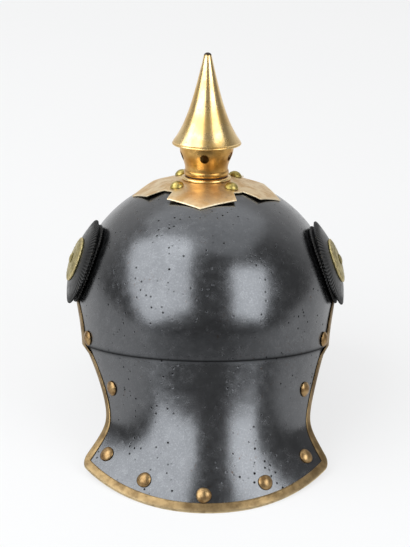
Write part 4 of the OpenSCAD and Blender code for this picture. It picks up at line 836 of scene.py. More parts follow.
def make_cross_base():
    """The arms follow the dome but stay flatter across; their rim is rolled over a little. A stud
    in each corner between two arms holds the base."""
    rim, rim_fall, rubbed, stud_ring = 0.45, 0.42, 1.6, 28.8
    hole = SPIGOT_R + RUN
    half = np.concatenate([np.linspace(0, CORNER_AT, 14), np.linspace(CORNER_AT, ROOT_AT, 6)[1:],
                           np.linspace(ROOT_AT, math.pi / 4, 5)[1:]])
    arm = np.concatenate([-half[:0:-1], half])[:-1]
    turn = np.repeat(BASE_TURN + np.arange(4) * math.pi / 2, len(arm))[None, :]
    at = np.tile(arm, 4)[None, :]
    edge = cross_radius(np.abs(at))
    share, roll = np.linspace(0, 1, 26)[:, None], np.linspace(0, math.pi / 2, 5)[1:, None]
    r = np.concatenate([hole + (edge - rim - hole) * share, edge - rim + rim * np.sin(roll)])
    drop = np.concatenate([0 * share, rim_fall * (1 - np.cos(roll))])
    wear = np.clip(1 - (edge - r) / rubbed, 0, 1)

    def skin(lift):
        """The base at a lift off the dome. Further out on an arm, its height is read nearer to
        the arm's middle line, which makes it flatter."""
        u, w = r * np.cos(at), r * np.sin(at)
        k = np.minimum(np.maximum(u - HUB_R * 0.6, 0) / HUB_R * 2, 1)
        flat_w = w * (1 + (ARM_FLAT - 1) * k)
        z = dome_z(u * np.cos(turn) - flat_w * np.sin(turn),
                   u * np.sin(turn) + flat_w * np.cos(turn))
        p = np.stack([r * np.cos(turn + at), r * np.sin(turn + at), z], -1)
        return p + skull_normal(p) * np.broadcast_to(lift, r.shape)[..., None]

    outer, inner = skin(SEAT + BASE_T - drop), skin(SEAT + 0 * drop)
    outer = outer + skull_normal(outer) * (uneven(outer, 9.0, 0.05) - 0.05)[..., None]
    add_piece("cross_base_sheet", shell(outer, inner, ring=True), BASE, ["cross_base"],
              wear=np.concatenate([wear.ravel(), wear.ravel()]))
    a = math.pi / 4 + math.pi / 2 * np.arange(4) + BASE_TURN
    x, y = stud_ring * np.cos(a), stud_ring * np.sin(a)
    head = turned(shanked(dome(10.5, 4, 0.8, 2 * SEAT + BASE_T, 14), 4.0, 5.3), 64)
    add_piece("base_stud_heads", gather([set_on(head, p, skull_normal(p)) for p in
                                         np.stack([x, y, dome_z(x, y)], -1)]),
              STUD, ["base_studs"], sharp=50)


def rounded(points, radius, steps=5):
    """A closed outline with each corner cut to a parabola of about that radius."""
    p = np.asarray(points, float)
    back, ahead = np.roll(p, 1, 0) - p, np.roll(p, -1, 0) - p
    lb, la = np.linalg.norm(back, axis=1), np.linalg.norm(ahead, axis=1)
    cut = np.minimum(radius, 0.45 * np.minimum(lb, la))
    a, b = p + back / lb[:, None] * cut[:, None], p + ahead / la[:, None] * cut[:, None]
    k = np.linspace(0, 1, steps)[None, :, None]
    curve = (1 - k) ** 2 * a[:, None] + 2 * k * (1 - k) * p[:, None] + k ** 2 * b[:, None]
    return curve.reshape(-1, 2)


WASHER_T = 0.8
SPIKE_Z = COLLAR_TOP + WASHER_T + 2 * RUN
RIM_Z, TIP_Z = COLLAR_TOP + 26, COLLAR_TOP + 95
# The neck: its waist over a bead, and its widest radius, which is the cone's seat
WAIST_Z, WAIST_R, BEAD, NECK_OPENS, NECK_END = SPIKE_Z + 5, 16.4, 2, 4.2, RIM_Z - 1.5
# The cone: the slope of its taper, its rim, and how fast the flare dies away above the rim
CONE_SLOPE, CONE_RIM_R, FLARE_MM, TIP_R, POINT_H = 0.22, 26.5, 16.4, 2.3, 14


def neck_r(z):
    """A half-round bead at the foot, then an eased step out from the waist to the cone."""
    bead_r, open_end = 0.8, NECK_END - 3
    bulge = np.sqrt(np.maximum(1 - ((z - SPIKE_Z) / BEAD - 1) ** 2, 0)) * (z < SPIKE_Z + 2 * BEAD)
    opened = WAIST_R + NECK_OPENS * smooth((z - WAIST_Z) / (open_end - WAIST_Z))
    return np.where(z < WAIST_Z, WAIST_R + bead_r * bulge, opened)


def cone_r(z):
    """A straight taper down from the tip, and a flare that grows exponentially to the rim."""
    flare = CONE_RIM_R - TIP_R - CONE_SLOPE * (TIP_Z - RIM_Z)
    return TIP_R + CONE_SLOPE * (TIP_Z - z) + flare * np.exp((RIM_Z - z) / FLARE_MM)


def loop_of(outline):
    """A closed section in the (radius, height) plane, its start repeated at its end."""
    return np.concatenate([outline, outline[:1]])


def make_collar():
    """Turned ring on the cross base: its bore clears the spike's threaded sleeve, and its spigot
    goes down through the base and the skull."""
    bore, crown, corner = SLEEVE_R + RUN, HALF[2], 0.7
    spigot_z = crown - 3.8
    ring = rounded([[bore, COLLAR_TOP], [17.4, COLLAR_TOP], [COLLAR_R, COLLAR_TOP - 0.9],
                    [COLLAR_R, crown + 0.1], [SPIGOT_R + 1.5, crown + 0.5],
                    [SPIGOT_R, crown + 0.3], [SPIGOT_R, spigot_z], [bore, spigot_z]], corner)
    add_piece("collar_ring", turned(loop_of(ring), 128), POLISHED, ["base_collar"], sharp=60)


def make_neck():
    """Thin tube with a beaded foot and a flat seat inside it, and five vents bored round it."""
    wall, seat_t, vents, vent_r, vent_reach = 1, 1.5, 5, 3.5, 41
    vent_z, first = COLLAR_TOP + 16.5, math.radians(-96)
    z = np.concatenate([np.linspace(NECK_END, WAIST_Z, 40),
                        SPIKE_Z + BEAD + BEAD * np.cos(np.linspace(0, math.pi, 21))])
    inner = np.linspace(WAIST_Z, NECK_END, 30)
    neck = np.concatenate([
        np.stack([neck_r(z), z], -1),
        [[SLEEVE_R + RUN, SPIKE_Z], [SLEEVE_R + RUN, SPIKE_Z + seat_t],
         [WAIST_R - wall, SPIKE_Z + seat_t]], np.stack([neck_r(inner) - wall, inner], -1)])
    piece = add_piece("spike_neck_tube", turned(loop_of(neck), 160), COPPERY, ["spike_neck"])
    rod = turned([[0, vent_reach], [vent_r, vent_reach], [vent_r, 0], [0, 0]], 48)
    bored(piece, gather([set_on(rod, [0, 0, vent_z], [math.cos(a), math.sin(a), 1e-6])
                         for a in first + 2 * math.pi / vents * np.arange(vents)]))


def make_cone():
    """Hollow flared cone: a half-round lip, a seat on the neck, and a wall up to the point."""
    wall, lip_r, seat_r, hollow_r = 1, 0.75, 17.6, 25.0
    z = np.linspace(TIP_Z - POINT_H, RIM_Z, 60)
    under, a = NECK_END + RUN, np.linspace(0, math.pi, 9)
    lip = np.stack([CONE_RIM_R - lip_r + lip_r * np.sin(a), under + lip_r + lip_r * np.cos(a)], -1)
    cone = np.concatenate([
        np.stack([cone_r(z[:-1]), z[:-1]], -1), lip,
        [[seat_r, under], [seat_r, under + wall], [hollow_r, under + wall]],
        np.stack([cone_r(z[::-1][3:]) - wall, z[::-1][3:]], -1)])
    add_piece("spike_cone_shell", turned(loop_of(cone), 160), POLISHED, ["spike_cone"])


def make_point():
    """Solid point: a ball on the cone's taper, with a spigot down into the cone. Its end is dark
    from handling."""
    foot, spigot_l, ball_z = TIP_Z - POINT_H + RUN, 6, TIP_Z - TIP_R
    dark_mm, dark_soft = 2.6, 1.4
    z = np.linspace(ball_z, foot, 24)
    a = np.linspace(math.pi / 2, 0, 12)
    ball_r, spigot_r = float(cone_r(ball_z)), float(cone_r(TIP_Z - POINT_H)) - 1.1
    tip = np.concatenate([np.stack([ball_r * np.cos(a), ball_z + TIP_R * np.sin(a)], -1)[:-1],
                          np.stack([cone_r(z), z], -1),
                          [[spigot_r, foot], [spigot_r, foot - spigot_l], [0, foot - spigot_l]]])
    points, faces = turned(tip, 96)
    add_piece("spike_point", (points, faces), POINT, ["spike_tip"],
              wear=smooth((points[:, 2] - TIP_Z + dark_mm) / dark_soft))


def bored(piece, cutter, origin=stood):
    """Cuts the cutter's solid out of a piece and keeps the result as its mesh."""
    tool = placed("cutter", merged_mesh("cutter", cutter, origin))
    cut = piece.modifiers.new("bore", "BOOLEAN")
    cut.object, cut.operation, cut.solver = tool, "DIFFERENCE", "EXACT"
    bpy.context.view_layer.update()
    graph = bpy.context.evaluated_depsgraph_get()
    result = bpy.data.meshes.new_from_object(piece.evaluated_get(graph))
    piece.modifiers.clear()
    piece.data = result
    shade(result, 38)
    bpy.data.objects.remove(tool)


# ---- cockades, each on a screw through the skull's side
# The right screw's spot, and the heights over it of what is stacked there, one on another
POST = side_point(1.0, -15.3324, 30.5)
POST_N = skull_normal(POST)
SCREW_BORE = 2.45
BACKING_D0, BACKING_R = TRIM_OVER + SEAT, 31.0
TAB_D0 = BACKING_D0 + BACKING_T + SEAT
HUB_D0 = TAB_D0 + TAB_T + SEAT
COCKADE_R, COCKADE_DOME, HUB_WELL, COCKADE_T, TOOTH_H, TEETH = 33.5, 7.1, 3.0, 1, 1.4, 72
COCKADE_BALL = (COCKADE_R ** 2 + COCKADE_DOME ** 2) / (2 * COCKADE_DOME)
ROSETTE_R, ROSETTE_H, ROSETTE_RIM = 17.3, 3.5, 1.4
ROSETTE_BALL = (ROSETTE_R ** 2 + (ROSETTE_H - ROSETTE_RIM) ** 2) / (2 * (ROSETTE_H - ROSETTE_RIM))
# Angles round a toothed disc, six to a tooth
AROUND = np.linspace(0, 2 * math.pi, TEETH * 6, endpoint=False)[None, :]


def cockade_top(r):
    """Height of the domed cockade: a cap of a ball."""
    return HUB_D0 + COCKADE_T + HUB_WELL - COCKADE_BALL + np.sqrt(COCKADE_BALL ** 2 - r * r)


ROSETTE_D0 = float(cockade_top(ROSETTE_R)) + SEAT


def rosette_top(r):
    """Height of the domed rosette: a cap of a ball."""
    return ROSETTE_D0 + ROSETTE_H - ROSETTE_BALL + np.sqrt(ROSETTE_BALL ** 2 - r * r)


def toothed(radius):
    """Outline with pointed teeth: the radius falls and rises in straight lines between tips."""
    k = np.abs((AROUND * TEETH / (2 * math.pi)) % 1 - 0.5) * 2
    return radius - TOOTH_H * (1 - k)


def crowded(inner_n, plain, outer_n):
    """Shares of the way out, even up to a share and closer together beyond it."""
    return np.concatenate([np.linspace(0, plain, inner_n),
                           np.linspace(plain, 1, outer_n)[1:]])[:, None]


def ring_grid(r, z):
    """Points at radii and heights, at every angle round a toothed disc."""
    return np.stack(np.broadcast_arrays(r * np.cos(AROUND), r * np.sin(AROUND), z), -1)


def make_cockade(spot, n, name):
    """Domed disc with a toothed edge, fine flutes, a cosine of the angle, that run out to the
    teeth, and a sunk flat round the screw. The teeth are chipped."""
    well_r, flat_r, under_r, chipped = 10.5, 7.0, 7.5, 2.6
    flute, flutes_from, flutes_soft = 0.22, 25, 7
    edge = toothed(COCKADE_R)
    r = well_r + (edge - well_r) * crowded(26, 0.86, 9)
    out = smooth((r - flutes_from) / flutes_soft)
    top = cockade_top(r) + (flute * np.cos(AROUND * TEETH) * out - flute * out)
    upper = [ring_grid(np.array([[SCREW_BORE], [flat_r]]), HUB_D0 + COCKADE_T), ring_grid(r, top)]
    lower = [ring_grid(np.array([[SCREW_BORE], [under_r]]), HUB_D0), ring_grid(r, top - COCKADE_T)]
    wear = np.concatenate([0 * upper[0][..., 0], smooth((r - edge + chipped) / chipped)])
    part = shell(np.concatenate(upper), np.concatenate(lower), ring=True)
    add_piece(f"cockade_disc_{name}", set_on(part, spot, n), LACQUER, [f"cockade_{name}"],
              wear=np.concatenate([wear.ravel(), wear.ravel()]))


def draped(spot, n, r, lift):
    """A disc across the screw's axis, each point moved along the axis onto the skull's ellipsoid
    grown by the gap under the backing and a lift: the larger root of a quadratic."""
    u = unit(np.cross([0, 0, 1.0], n))
    w = np.cross(n, u)
    p = spot + r[..., None] * (np.cos(AROUND)[..., None] * u + np.sin(AROUND)[..., None] * w)
    half = HALF + BACKING_D0 + lift
    a = ((n / half) ** 2).sum()
    b = 2 * (p * n / half ** 2).sum(-1)
    c = ((p / half) ** 2).sum(-1) - 1
    along = (-b + np.sqrt(np.maximum(b * b - 4 * a * c, 0))) / (2 * a)
    return p + along[..., None] * n


def make_backing(spot, n, name):
    """Leather disc with a toothed edge that lies along the skull; its cut edge is rubbed."""
    rubbed = 2.2
    edge = toothed(BACKING_R)
    r = SCREW_BORE + (edge - SCREW_BORE) * crowded(20, 0.9, 6)
    wear = smooth((r - edge + rubbed) / rubbed)
    add_piece(f"backing_disc_{name}",
              shell(draped(spot, n, r, BACKING_T), draped(spot, n, r, 0.0), ring=True), BACKING,
              [f"backing_{name}"], wear=np.concatenate([wear.ravel(), wear.ravel()]))


def make_rosette(spot, n, name):
    """Domed disc, hollow behind, with a seat round the screw. Cosines of the radius make its
    turned ribs, and cosines of the angle the scallops of its border."""
    sheet, well_r, rib, rib_from = 0.8, 5, 0.16, 6
    scallops, scallop, scallop_from, rubbed_from = 24, 0.18, 11, 14.5
    r = np.linspace(SCREW_BORE, ROSETTE_R - 0.4, 26)
    ribs = rib * np.cos((r - rib_from) * 1.5) * smooth((r - rib_from) / 2) - rib
    inner = np.linspace(ROSETTE_R - sheet, well_r, 14)
    rim_z, seat = rosette_top(ROSETTE_R), HUB_D0 + COCKADE_T + SEAT
    profile = np.concatenate([
        np.stack([r, rosette_top(r) + ribs], -1),
        [[ROSETTE_R - 0.1, rim_z - 0.35], [ROSETTE_R, rim_z - 0.8], [ROSETTE_R, ROSETTE_D0],
         [ROSETTE_R - sheet, ROSETTE_D0]],
        np.stack([inner, rosette_top(inner) - sheet], -1),
        [[well_r, seat], [SCREW_BORE, seat]]])
    points, faces = turned(loop_of(profile), 144)
    rad, at = np.hypot(points[:, 0], points[:, 1]), np.arctan2(points[:, 1], points[:, 0])
    top = points[:, 2] > ROSETTE_D0 + 0.9
    points[:, 2] -= (scallop * (1 + np.cos(at * scallops)) * smooth((rad - scallop_from) / 4)
                     * top)
    add_piece(f"rosette_disc_{name}", set_on((points, faces), spot, n), PALE,
              [f"rosette_{name}"], wear=smooth((rad - rubbed_from) / 2.8) * top)


def make_side_screws():
    """Screws with low domed heads and a straight slot across each."""
    slot_half, slot_deep = 0.55, 0.5
    seat = float(rosette_top(SCREW_BORE)) + RUN
    points, faces = turned(shanked(dome(8, 8 / 6, 0.35, seat, 16), 4.8, 5.7), 64)
    head, slot = points[:, 2] > seat + 0.3, np.exp(-(points[:, 1] / slot_half) ** 4)
    points[:, 2] -= slot_deep * slot * head
    add_piece("side_screw_heads", gather([set_on((points, faces), POST * [side, 1, 1],
                                                 POST_N * [side, 1, 1]) for side, _ in SIDES]),
              PALE, ["side_screws"], sharp=50)


def make_cockades():
    """Cockade, backing and rosette of each side, and the screws that hold them."""
    for side, name in SIDES:
        spot, n = POST * [side, 1, 1], POST_N * [side, 1, 1]
        make_cockade(spot, n, name)
        make_backing(spot, n, name)
        make_rosette(spot, n, name)
    make_side_screws()


# ---- chin loop, an arc about the pivots' axis, drawn in its own frame and hung there
HANG, PIVOT, LOOP_R = math.radians(20.2001), np.array([0.0, 28.6676, 18.0]), 101.9
STRAP_W, STRAP_T = 18.0, 2.0
# Angles of the buckle's bars and of the tongue's end, and the tongue's lift over what it crosses
REAR_BAR, FRONT_BAR = math.radians(-9), math.radians(-9) + 14 / LOOP_R
TONGUE_END = -32 / LOOP_R
TONGUE_OVER_BAR, TONGUE_OVER_STRAP = 3.75, 2.3
PIVOT_X = LOOP_R - 1.45 - TAB_T


def hung(p):
    """Chin loop's frame to the part's: swung down about the pivots, then stood."""
    x, y, z = np.moveaxis(np.asarray(p, float), -1, 0)
    c, s = math.cos(HANG), math.sin(HANG)
    return stood(np.stack([x, y * c + z * s, z * c - y * s], -1) + PIVOT)


def on_loop(p, at):
    """Points drawn along +X towards the front and +Z outward, laid on the loop at an angle."""
    x, y, z = np.moveaxis(np.asarray(p, float), -1, 0)
    z = z + LOOP_R
    return np.stack([z * math.sin(at) - x * math.cos(at), z * math.cos(at) + x * math.sin(at), y],
                    -1)


def strap_path(angles, lift):
    """Middle line of a strap from its rounded end behind the pivot, and its outward direction."""
    back = np.linspace(0.01 - STRAP_W / 2, 0, 16)[:-1]
    start = np.stack([np.full_like(back, LOOP_R), back, 0 * back], -1)
    r = LOOP_R + lift
    middle = np.concatenate([start, np.stack([r * np.sin(angles), r * np.cos(angles),
                                              0 * angles], -1)])
    ahead = unit(np.gradient(middle, axis=0))
    out = np.stack([-ahead[:, 1], ahead[:, 0], 0 * ahead[:, 0]], -1)
    out *= np.sign((out * middle).sum(-1, keepdims=True))
    return middle, out


def at_loop(a, lift=0.0, z=0.0):
    """Point on the loop at an angle from its front, a lift off it and a height."""
    return np.array([(LOOP_R + lift) * math.sin(a), (LOOP_R + lift) * math.cos(a), z])


def upright(n):
    """The loop's own up, once for each of n points."""
    return np.tile([0.0, 0.0, 1.0], (n, 1))


def strap_half(middle):
    """Half the strap's width: a circle about the pivot behind it, and even before it."""
    half = STRAP_W / 2
    behind = np.sqrt(np.maximum(half ** 2 - middle[:, 1] ** 2, 0.01))
    return np.where(middle[:, 1] < 0, behind, half)


def rounded_end(to_end, radius, least):
    """Share of a strip's width at a distance from its end, which is half an ellipse."""
    near = to_end < radius
    return np.sqrt(np.clip(1 - (1 - to_end / radius) ** 2, least, 1) * near + ~near)


def make_right_strap():
    """Right strap: its tongue goes under the buckle's front bar and over the rear one, has a
    rounded end, and is punched with four holes."""
    near_buckle, hole_r, reach = 0.1, 1.1, 4
    holes = TONGUE_END + 0.07, TONGUE_END + 0.13, 0.09, 0.15
    angles = np.concatenate([np.linspace(math.pi / 2, near_buckle, 90)[:-1],
                             np.linspace(near_buckle, TONGUE_END, 90)])
    over = (angles - REAR_BAR) / (FRONT_BAR - REAR_BAR)
    lift = np.where(over > 0, TONGUE_OVER_BAR * (1 - smooth(over)),
                    TONGUE_OVER_BAR + (TONGUE_OVER_STRAP - TONGUE_OVER_BAR)
                    * smooth((REAR_BAR - angles) / math.radians(5)))
    middle, out = strap_path(angles, lift)
    to_end = np.concatenate([np.full(len(middle) - len(angles), STRAP_W),
                             (angles - TONGUE_END) * LOOP_R])
    half = np.minimum(strap_half(middle), STRAP_W / 2 * rounded_end(to_end, 8, 0.001))
    part = ribbon(middle, upright(len(middle)), out, half, STRAP_T, 0.22)
    piece = add_piece("right_chin_strap", part, STRAP, ["chin_strap_right"], origin=hung)
    rod = turned([[0, reach], [hole_r, reach], [hole_r, -reach], [0, -reach]], 24)
    bored(piece, gather([outward(set_on(rod, at_loop(a, 1.5), [math.sin(a), math.cos(a), 1e-6]))
                         for a in holes]), hung)


def make_left_strap():
    """Left strap: it ends in two lobes that wrap the buckle's rear bar, with the prong between
    them, and two rows of stitches hold the fold."""
    fold, over_bar, roll_r, lobe_z, lobe_half = 3.5, 2.4, 2.45, 5.25, 3.75
    left = np.array([-1, 1, 1])
    middle, out = strap_path(np.linspace(math.pi / 2, -REAR_BAR + fold / LOOP_R, 140), 0.0)
    parts = [ribbon(middle * left, upright(len(middle)), out * left, strap_half(middle), STRAP_T,
                    0.22)]
    along = np.linspace(fold, -over_bar, 26)
    a = along / LOOP_R - REAR_BAR
    out = np.stack([-np.sin(a), np.cos(a), 0 * a], -1)
    roll = 2 * np.sqrt(roll_r ** 2 - np.minimum(np.abs(along), over_bar) ** 2)
    thick = np.where(along > 0, np.maximum(roll, STRAP_T), roll)
    for z in (-lobe_z, lobe_z):
        parts.append(ribbon(LOOP_R * out + [0, 0, z], upright(len(a)), out, lobe_half, thick))
    add_piece("left_chin_strap", gather(parts), STRAP, ["chin_strap_left"], origin=hung)
    spots = np.array([at_loop(REAR_BAR - back / LOOP_R, 1, z)
                      for back in (5.5, 7.5) for z in (-6.4, -3.2, 0, 3.2, 6.4)])
    threads = stitches(spots, upright(len(spots)), unit(spots * [1, 1, 0]), 2.4, 0.35)
    add_piece("strap_fold_stitches", threads, THREAD, ["chin_strap_left"], origin=hung)


def make_scales():
    """Nine scales a side, a little narrower towards the buckle. Each is crowned across by a
    parabola, with a border raised by a bell curve, and its front end, part of a circle, lies over
    the rear end of the next one."""
    count, behind, before, tilt = 9, 12, 34, math.radians(5.5)
    wide, front_r, crown, over, under = 22, 0.7, 0.75, 2.45, 1.8
    border, border_in, border_soft, hem, hem_soft = 0.32, 1.1, 0.55, 0.35, 0.45
    pitch = (LOOP_R * math.pi / 2 - behind - before) / count
    length = 1.35 * pitch
    u = np.sin(np.linspace(-math.pi / 2, math.pi / 2, 27))[None, :]
    k = crowded(16, 0.86, 10)
    crowned = crown * (1 - u * u)
    for side, name in SIDES:
        parts = []
        for i in range(count):
            w = wide * (1 - 0.02 * i)
            y = u * w / 2
            front = length / 2 - front_r * w + np.sqrt((front_r * w) ** 2 - y * y)
            x = -length / 2 + (front + length / 2) * k
            edge = np.minimum((1 - np.abs(u)) * w / 2, front - x)
            pressed = (crowned + border * np.exp(-((edge - border_in) / border_soft) ** 2)
                       - hem * np.exp(-(edge / hem_soft) ** 2))
            at = math.pi / 2 - (behind + (i + 0.5) * pitch) / LOOP_R
            skins = [on_loop(np.stack(np.broadcast_arrays(
                x * math.cos(tilt), y, x * math.sin(tilt) + height), -1), at) * [side, 1, 1]
                for height in (over + pressed, under + crowned)]
            parts.append(outward(shell(*skins)))
        rubbed = np.exp(-((edge - border_in) / 0.7) ** 2)
        add_piece(f"chin_scales_{name}_set", gather(parts), BASE, [f"chin_scales_{name}"],
                  wear=np.tile(np.concatenate([rubbed.ravel(), 0 * rubbed.ravel()]), count),
                  origin=hung)


def rounded_path(corners, radius, curve_n, side_n):
    """Closed outline with rounded corners, with points along its straight sides too."""
    flat = rounded(corners, radius, curve_n)
    k = np.linspace(0, 1, side_n)[1:-1, None]
    path = []
    for i in range(0, len(flat), curve_n):
        end, start = flat[i + curve_n - 1], flat[(i + curve_n) % len(flat)]
        path += [flat[i:i + curve_n], end + (start - end) * k]
    return np.concatenate(path)


def make_buckle():
    """Wire frame with rounded corners, from the rear bar up over the loop to the front one."""
    half, wire_r, corner_r = 10.6, 1.1, 2.4
    rear = at_loop(REAR_BAR)
    away = at_loop(FRONT_BAR, 2.4) - rear
    reach = np.linalg.norm(away)
    flat = rounded_path([[0, -half], [0, half], [reach, half], [reach, -half]], corner_r, 9, 24)
    path = rear + flat[:, :1] * unit(away) + flat[:, 1:] * np.array([0, 0, 1.0])
    normal = np.cross(unit(away), [0, 0, 1.0])
    add_piece("buckle_wire", cord(path, wire_r, True, up=normal), BASE, ["buckle_frame"],
              origin=hung)


def make_keeper():
    """Leather loop round both straps that holds the tongue down."""
    half, low, high, corner_r = 9.9, -1.9, 4.2, 1.6
    flat = rounded_path([[-half, low], [-half, high], [half, high], [half, low]], corner_r, 7, 14)
    ahead = unit(np.roll(flat, -1, 0) - np.roll(flat, 1, 0))
    out = np.stack([-ahead[:, 1], ahead[:, 0]], -1)
    out *= np.sign((out * (flat - [0, (low + high) / 2])).sum(-1, keepdims=True))
    at = (TONGUE_END + REAR_BAR) / 2 - math.radians(1)
    base = on_loop(np.zeros(3), at)
    loop = ribbon(on_loop(np.insert(flat, 0, 0, 1), at),
                  np.tile(on_loop([1.0, 0, 0], at) - base, (len(flat), 1)),
                  on_loop(np.insert(out, 0, 0, 1), at) - base, 3.5, 1.2, 0.0, True)
    add_piece("strap_keeper_loop", loop, STRAP, ["strap_keeper"], origin=hung)


# Stations round each end of a leather tab
TAB_ROUND = 14


def tab_line():
    """Stations of a tab's line, half its width at each, and the way across it at both ends. It
    starts round the screw, runs flat to the cockade's edge, and ends flat round the pivot."""
    screw_half, pivot_half, wide_half = 7, 8, 7.4
    lean, turn = math.acos(POST_N[2]), math.atan2(POST_N[1], POST_N[0])
    down = np.array([math.cos(lean) * math.cos(turn), math.cos(lean) * math.sin(turn),
                     -math.sin(lean)])
    fore = np.array([-math.sin(turn), math.cos(turn), 0])
    pivot = np.array([PIVOT_X, PIVOT[1], PIVOT[2]])
    aim = math.atan2((pivot - POST) @ down, (pivot - POST) @ fore)
    along = math.sin(aim) * down + math.cos(aim) * fore
    bend_r = HALF[1] ** 2 / HALF[0]

    def level(r):
        """Height at a distance from the screw: it falls with a circle as round as the skull."""
        return TAB_D0 + RUN - (bend_r - math.sqrt(bend_r * bend_r - r * r))
    exit_at, exit_d = 34, float(cockade_top(COCKADE_R)) - COCKADE_T - SEAT - TAB_T
    way_out = POST + exit_at * along + exit_d * POST_N
    plate = unit(np.array([0, pivot[1] - way_out[1], pivot[2] - way_out[2]]))
    round_end = np.linspace(-math.pi / 2 * 0.99, 0, TAB_ROUND)
    rows = [(POST + screw_half * math.sin(a) * along + TAB_D0 * POST_N, screw_half * math.cos(a))
            for a in round_end]
    rows += [(POST + r * along + d * POST_N, screw_half) for r, d in (
        (8, TAB_D0), (20, level(20)), (31.5, level(31.5)), (exit_at, exit_d))]
    rows += [(pivot - 9.3 * plate, wide_half)]
    rows += [(pivot + pivot_half * math.sin(a) * plate, pivot_half * math.cos(a))
             for a in -round_end[::-1]]
    middle, half = np.array([r[0] for r in rows]), np.array([r[1] for r in rows])
    return middle, half, np.cross(POST_N, along), np.cross([1.0, 0, 0], plate)


def make_tabs():
    """Leather tabs from under the cockades to the pivots, bent softly, and the pivot rivets."""
    soft_mm, ease_mm, seat = 1.5, 4, LOOP_R + 1.05
    middle, half, screw_across, pivot_across = tab_line()
    s = np.concatenate([[0], np.cumsum(np.linalg.norm(np.diff(middle, axis=0), axis=1))])
    t = np.unique(np.concatenate([s, np.linspace(0, s[-1], 90)]))
    middle = np.stack([np.interp(t, s, middle[:, i]) for i in range(3)], -1)
    # Leather turns no sharp corner: each point is the mean of the line near it
    near = np.exp(-((t[:, None] - t[None, :]) / soft_mm) ** 2)
    soft = near @ middle / near.sum(1, keepdims=True)
    middle = middle + (soft - middle) * smooth(np.minimum(t, s[-1] - t) / ease_mm)[:, None]
    half = np.interp(t, s, half)
    # It turns from the cockade's plane to the pivot's on its way
    start, end = s[TAB_ROUND], s[-TAB_ROUND]
    k = smooth((t - start) / (end - start))[:, None]
    wide = unit(screw_across * (1 - k) + pivot_across * k)
    out = unit(np.cross(wide, np.gradient(middle, axis=0)))
    out *= np.sign(out[:, :1])
    middle = middle + TAB_T / 2 * out
    for side, name in SIDES:
        flip = np.array([side, 1, 1])
        part = ribbon(middle * flip, wide * flip, out * flip, half, TAB_T, 0.12)
        add_piece(f"chin_tab_{name}_leather", part, STRAP, [f"chin_tab_{name}"])
    head = turned(shanked(dome(8, 2, 0.4, seat, 16), 4.0, RUN - PIVOT_X), 56)
    add_piece("pivot_rivets", gather([outward(set_on(head, PIVOT, [side, 1e-6, 0]))
                                      for side, _ in SIDES]), BASE, ["chin_pivots"], sharp=50)


# ---- front plate
# Its middle on the forehead, its stand-off, its sheet, the height of its rays, and its bolts
STAR_Z, STAR_LIFT, STAR_T, STAR_BOW, STAR_BOLT = 30.0, 0.5, 1.0, 3, (3.0, 5.6)
STAR_SEAT = STAR_LIFT + STAR_T + STAR_BOW + SEAT


def make_star_plate():
    """Rayed star pressed from sheet and bent to the forehead: eight long and eight short rays,
    each with a ridge and two flutes. Its outline runs straight from ray to notch, and its height
    rises and falls as a parabola from the hole to the edge."""
    hole, long, short, notch, low_ridge, flute = 1.55, 44.0, 38.0, 29.0, 0.35, 0.10
    brim_fall, brim_at = 0.35, 0.97
    j = np.arange(32)
    a = -math.pi / 2 / 8 * j
    reach = np.where(j % 4 == 0, long, np.where(j % 4 == 2, short, notch))
    ridge = np.where(j % 2 == 0, 1.0, low_ridge)
    tips = np.stack([reach * np.cos(a), reach * np.sin(a)], -1)
    k = np.linspace(0, 1, 9)[:-1]
    edge = (tips[:, None] * (1 - k[None, :, None])
            + np.roll(tips, -1, 0)[:, None] * k[None, :, None]).reshape(-1, 2)
    height = (ridge[:, None] * (1 - k) + np.roll(ridge, -1)[:, None] * k
              - flute * np.sin(k * 2 * math.pi)[None, :] ** 2).ravel()[None, :]
    share = np.concatenate([np.linspace(0, brim_at, 34), [0.985, 0.995, 1.0]])[:, None]
    start = hole * unit(edge)
    x = start[:, 0] + (edge[:, 0] - start[:, 0]) * share
    z = STAR_Z + start[:, 1] + (edge[:, 1] - start[:, 1]) * share
    p = np.stack([x, brow_y(x, z), z], -1)
    n = skull_normal(p)
    bow = STAR_BOW * height * share * (1 - share) * 4
    brim = brim_fall * smooth((share - brim_at) / 0.03)
    outer = p + n * (STAR_LIFT + STAR_T + bow - brim)[..., None]
    inner = p + n * (STAR_LIFT + bow)[..., None]
    # The ridges are rubbed bright
    wear = smooth((height - 0.75) / 0.25) * smooth(share * 3)
    add_piece("rayed_star_plate", outward(shell(outer, inner, ring=True)), BASE, ["front_star"],
              wear=np.concatenate([wear.ravel(), 0 * wear.ravel()]), sharp=30)


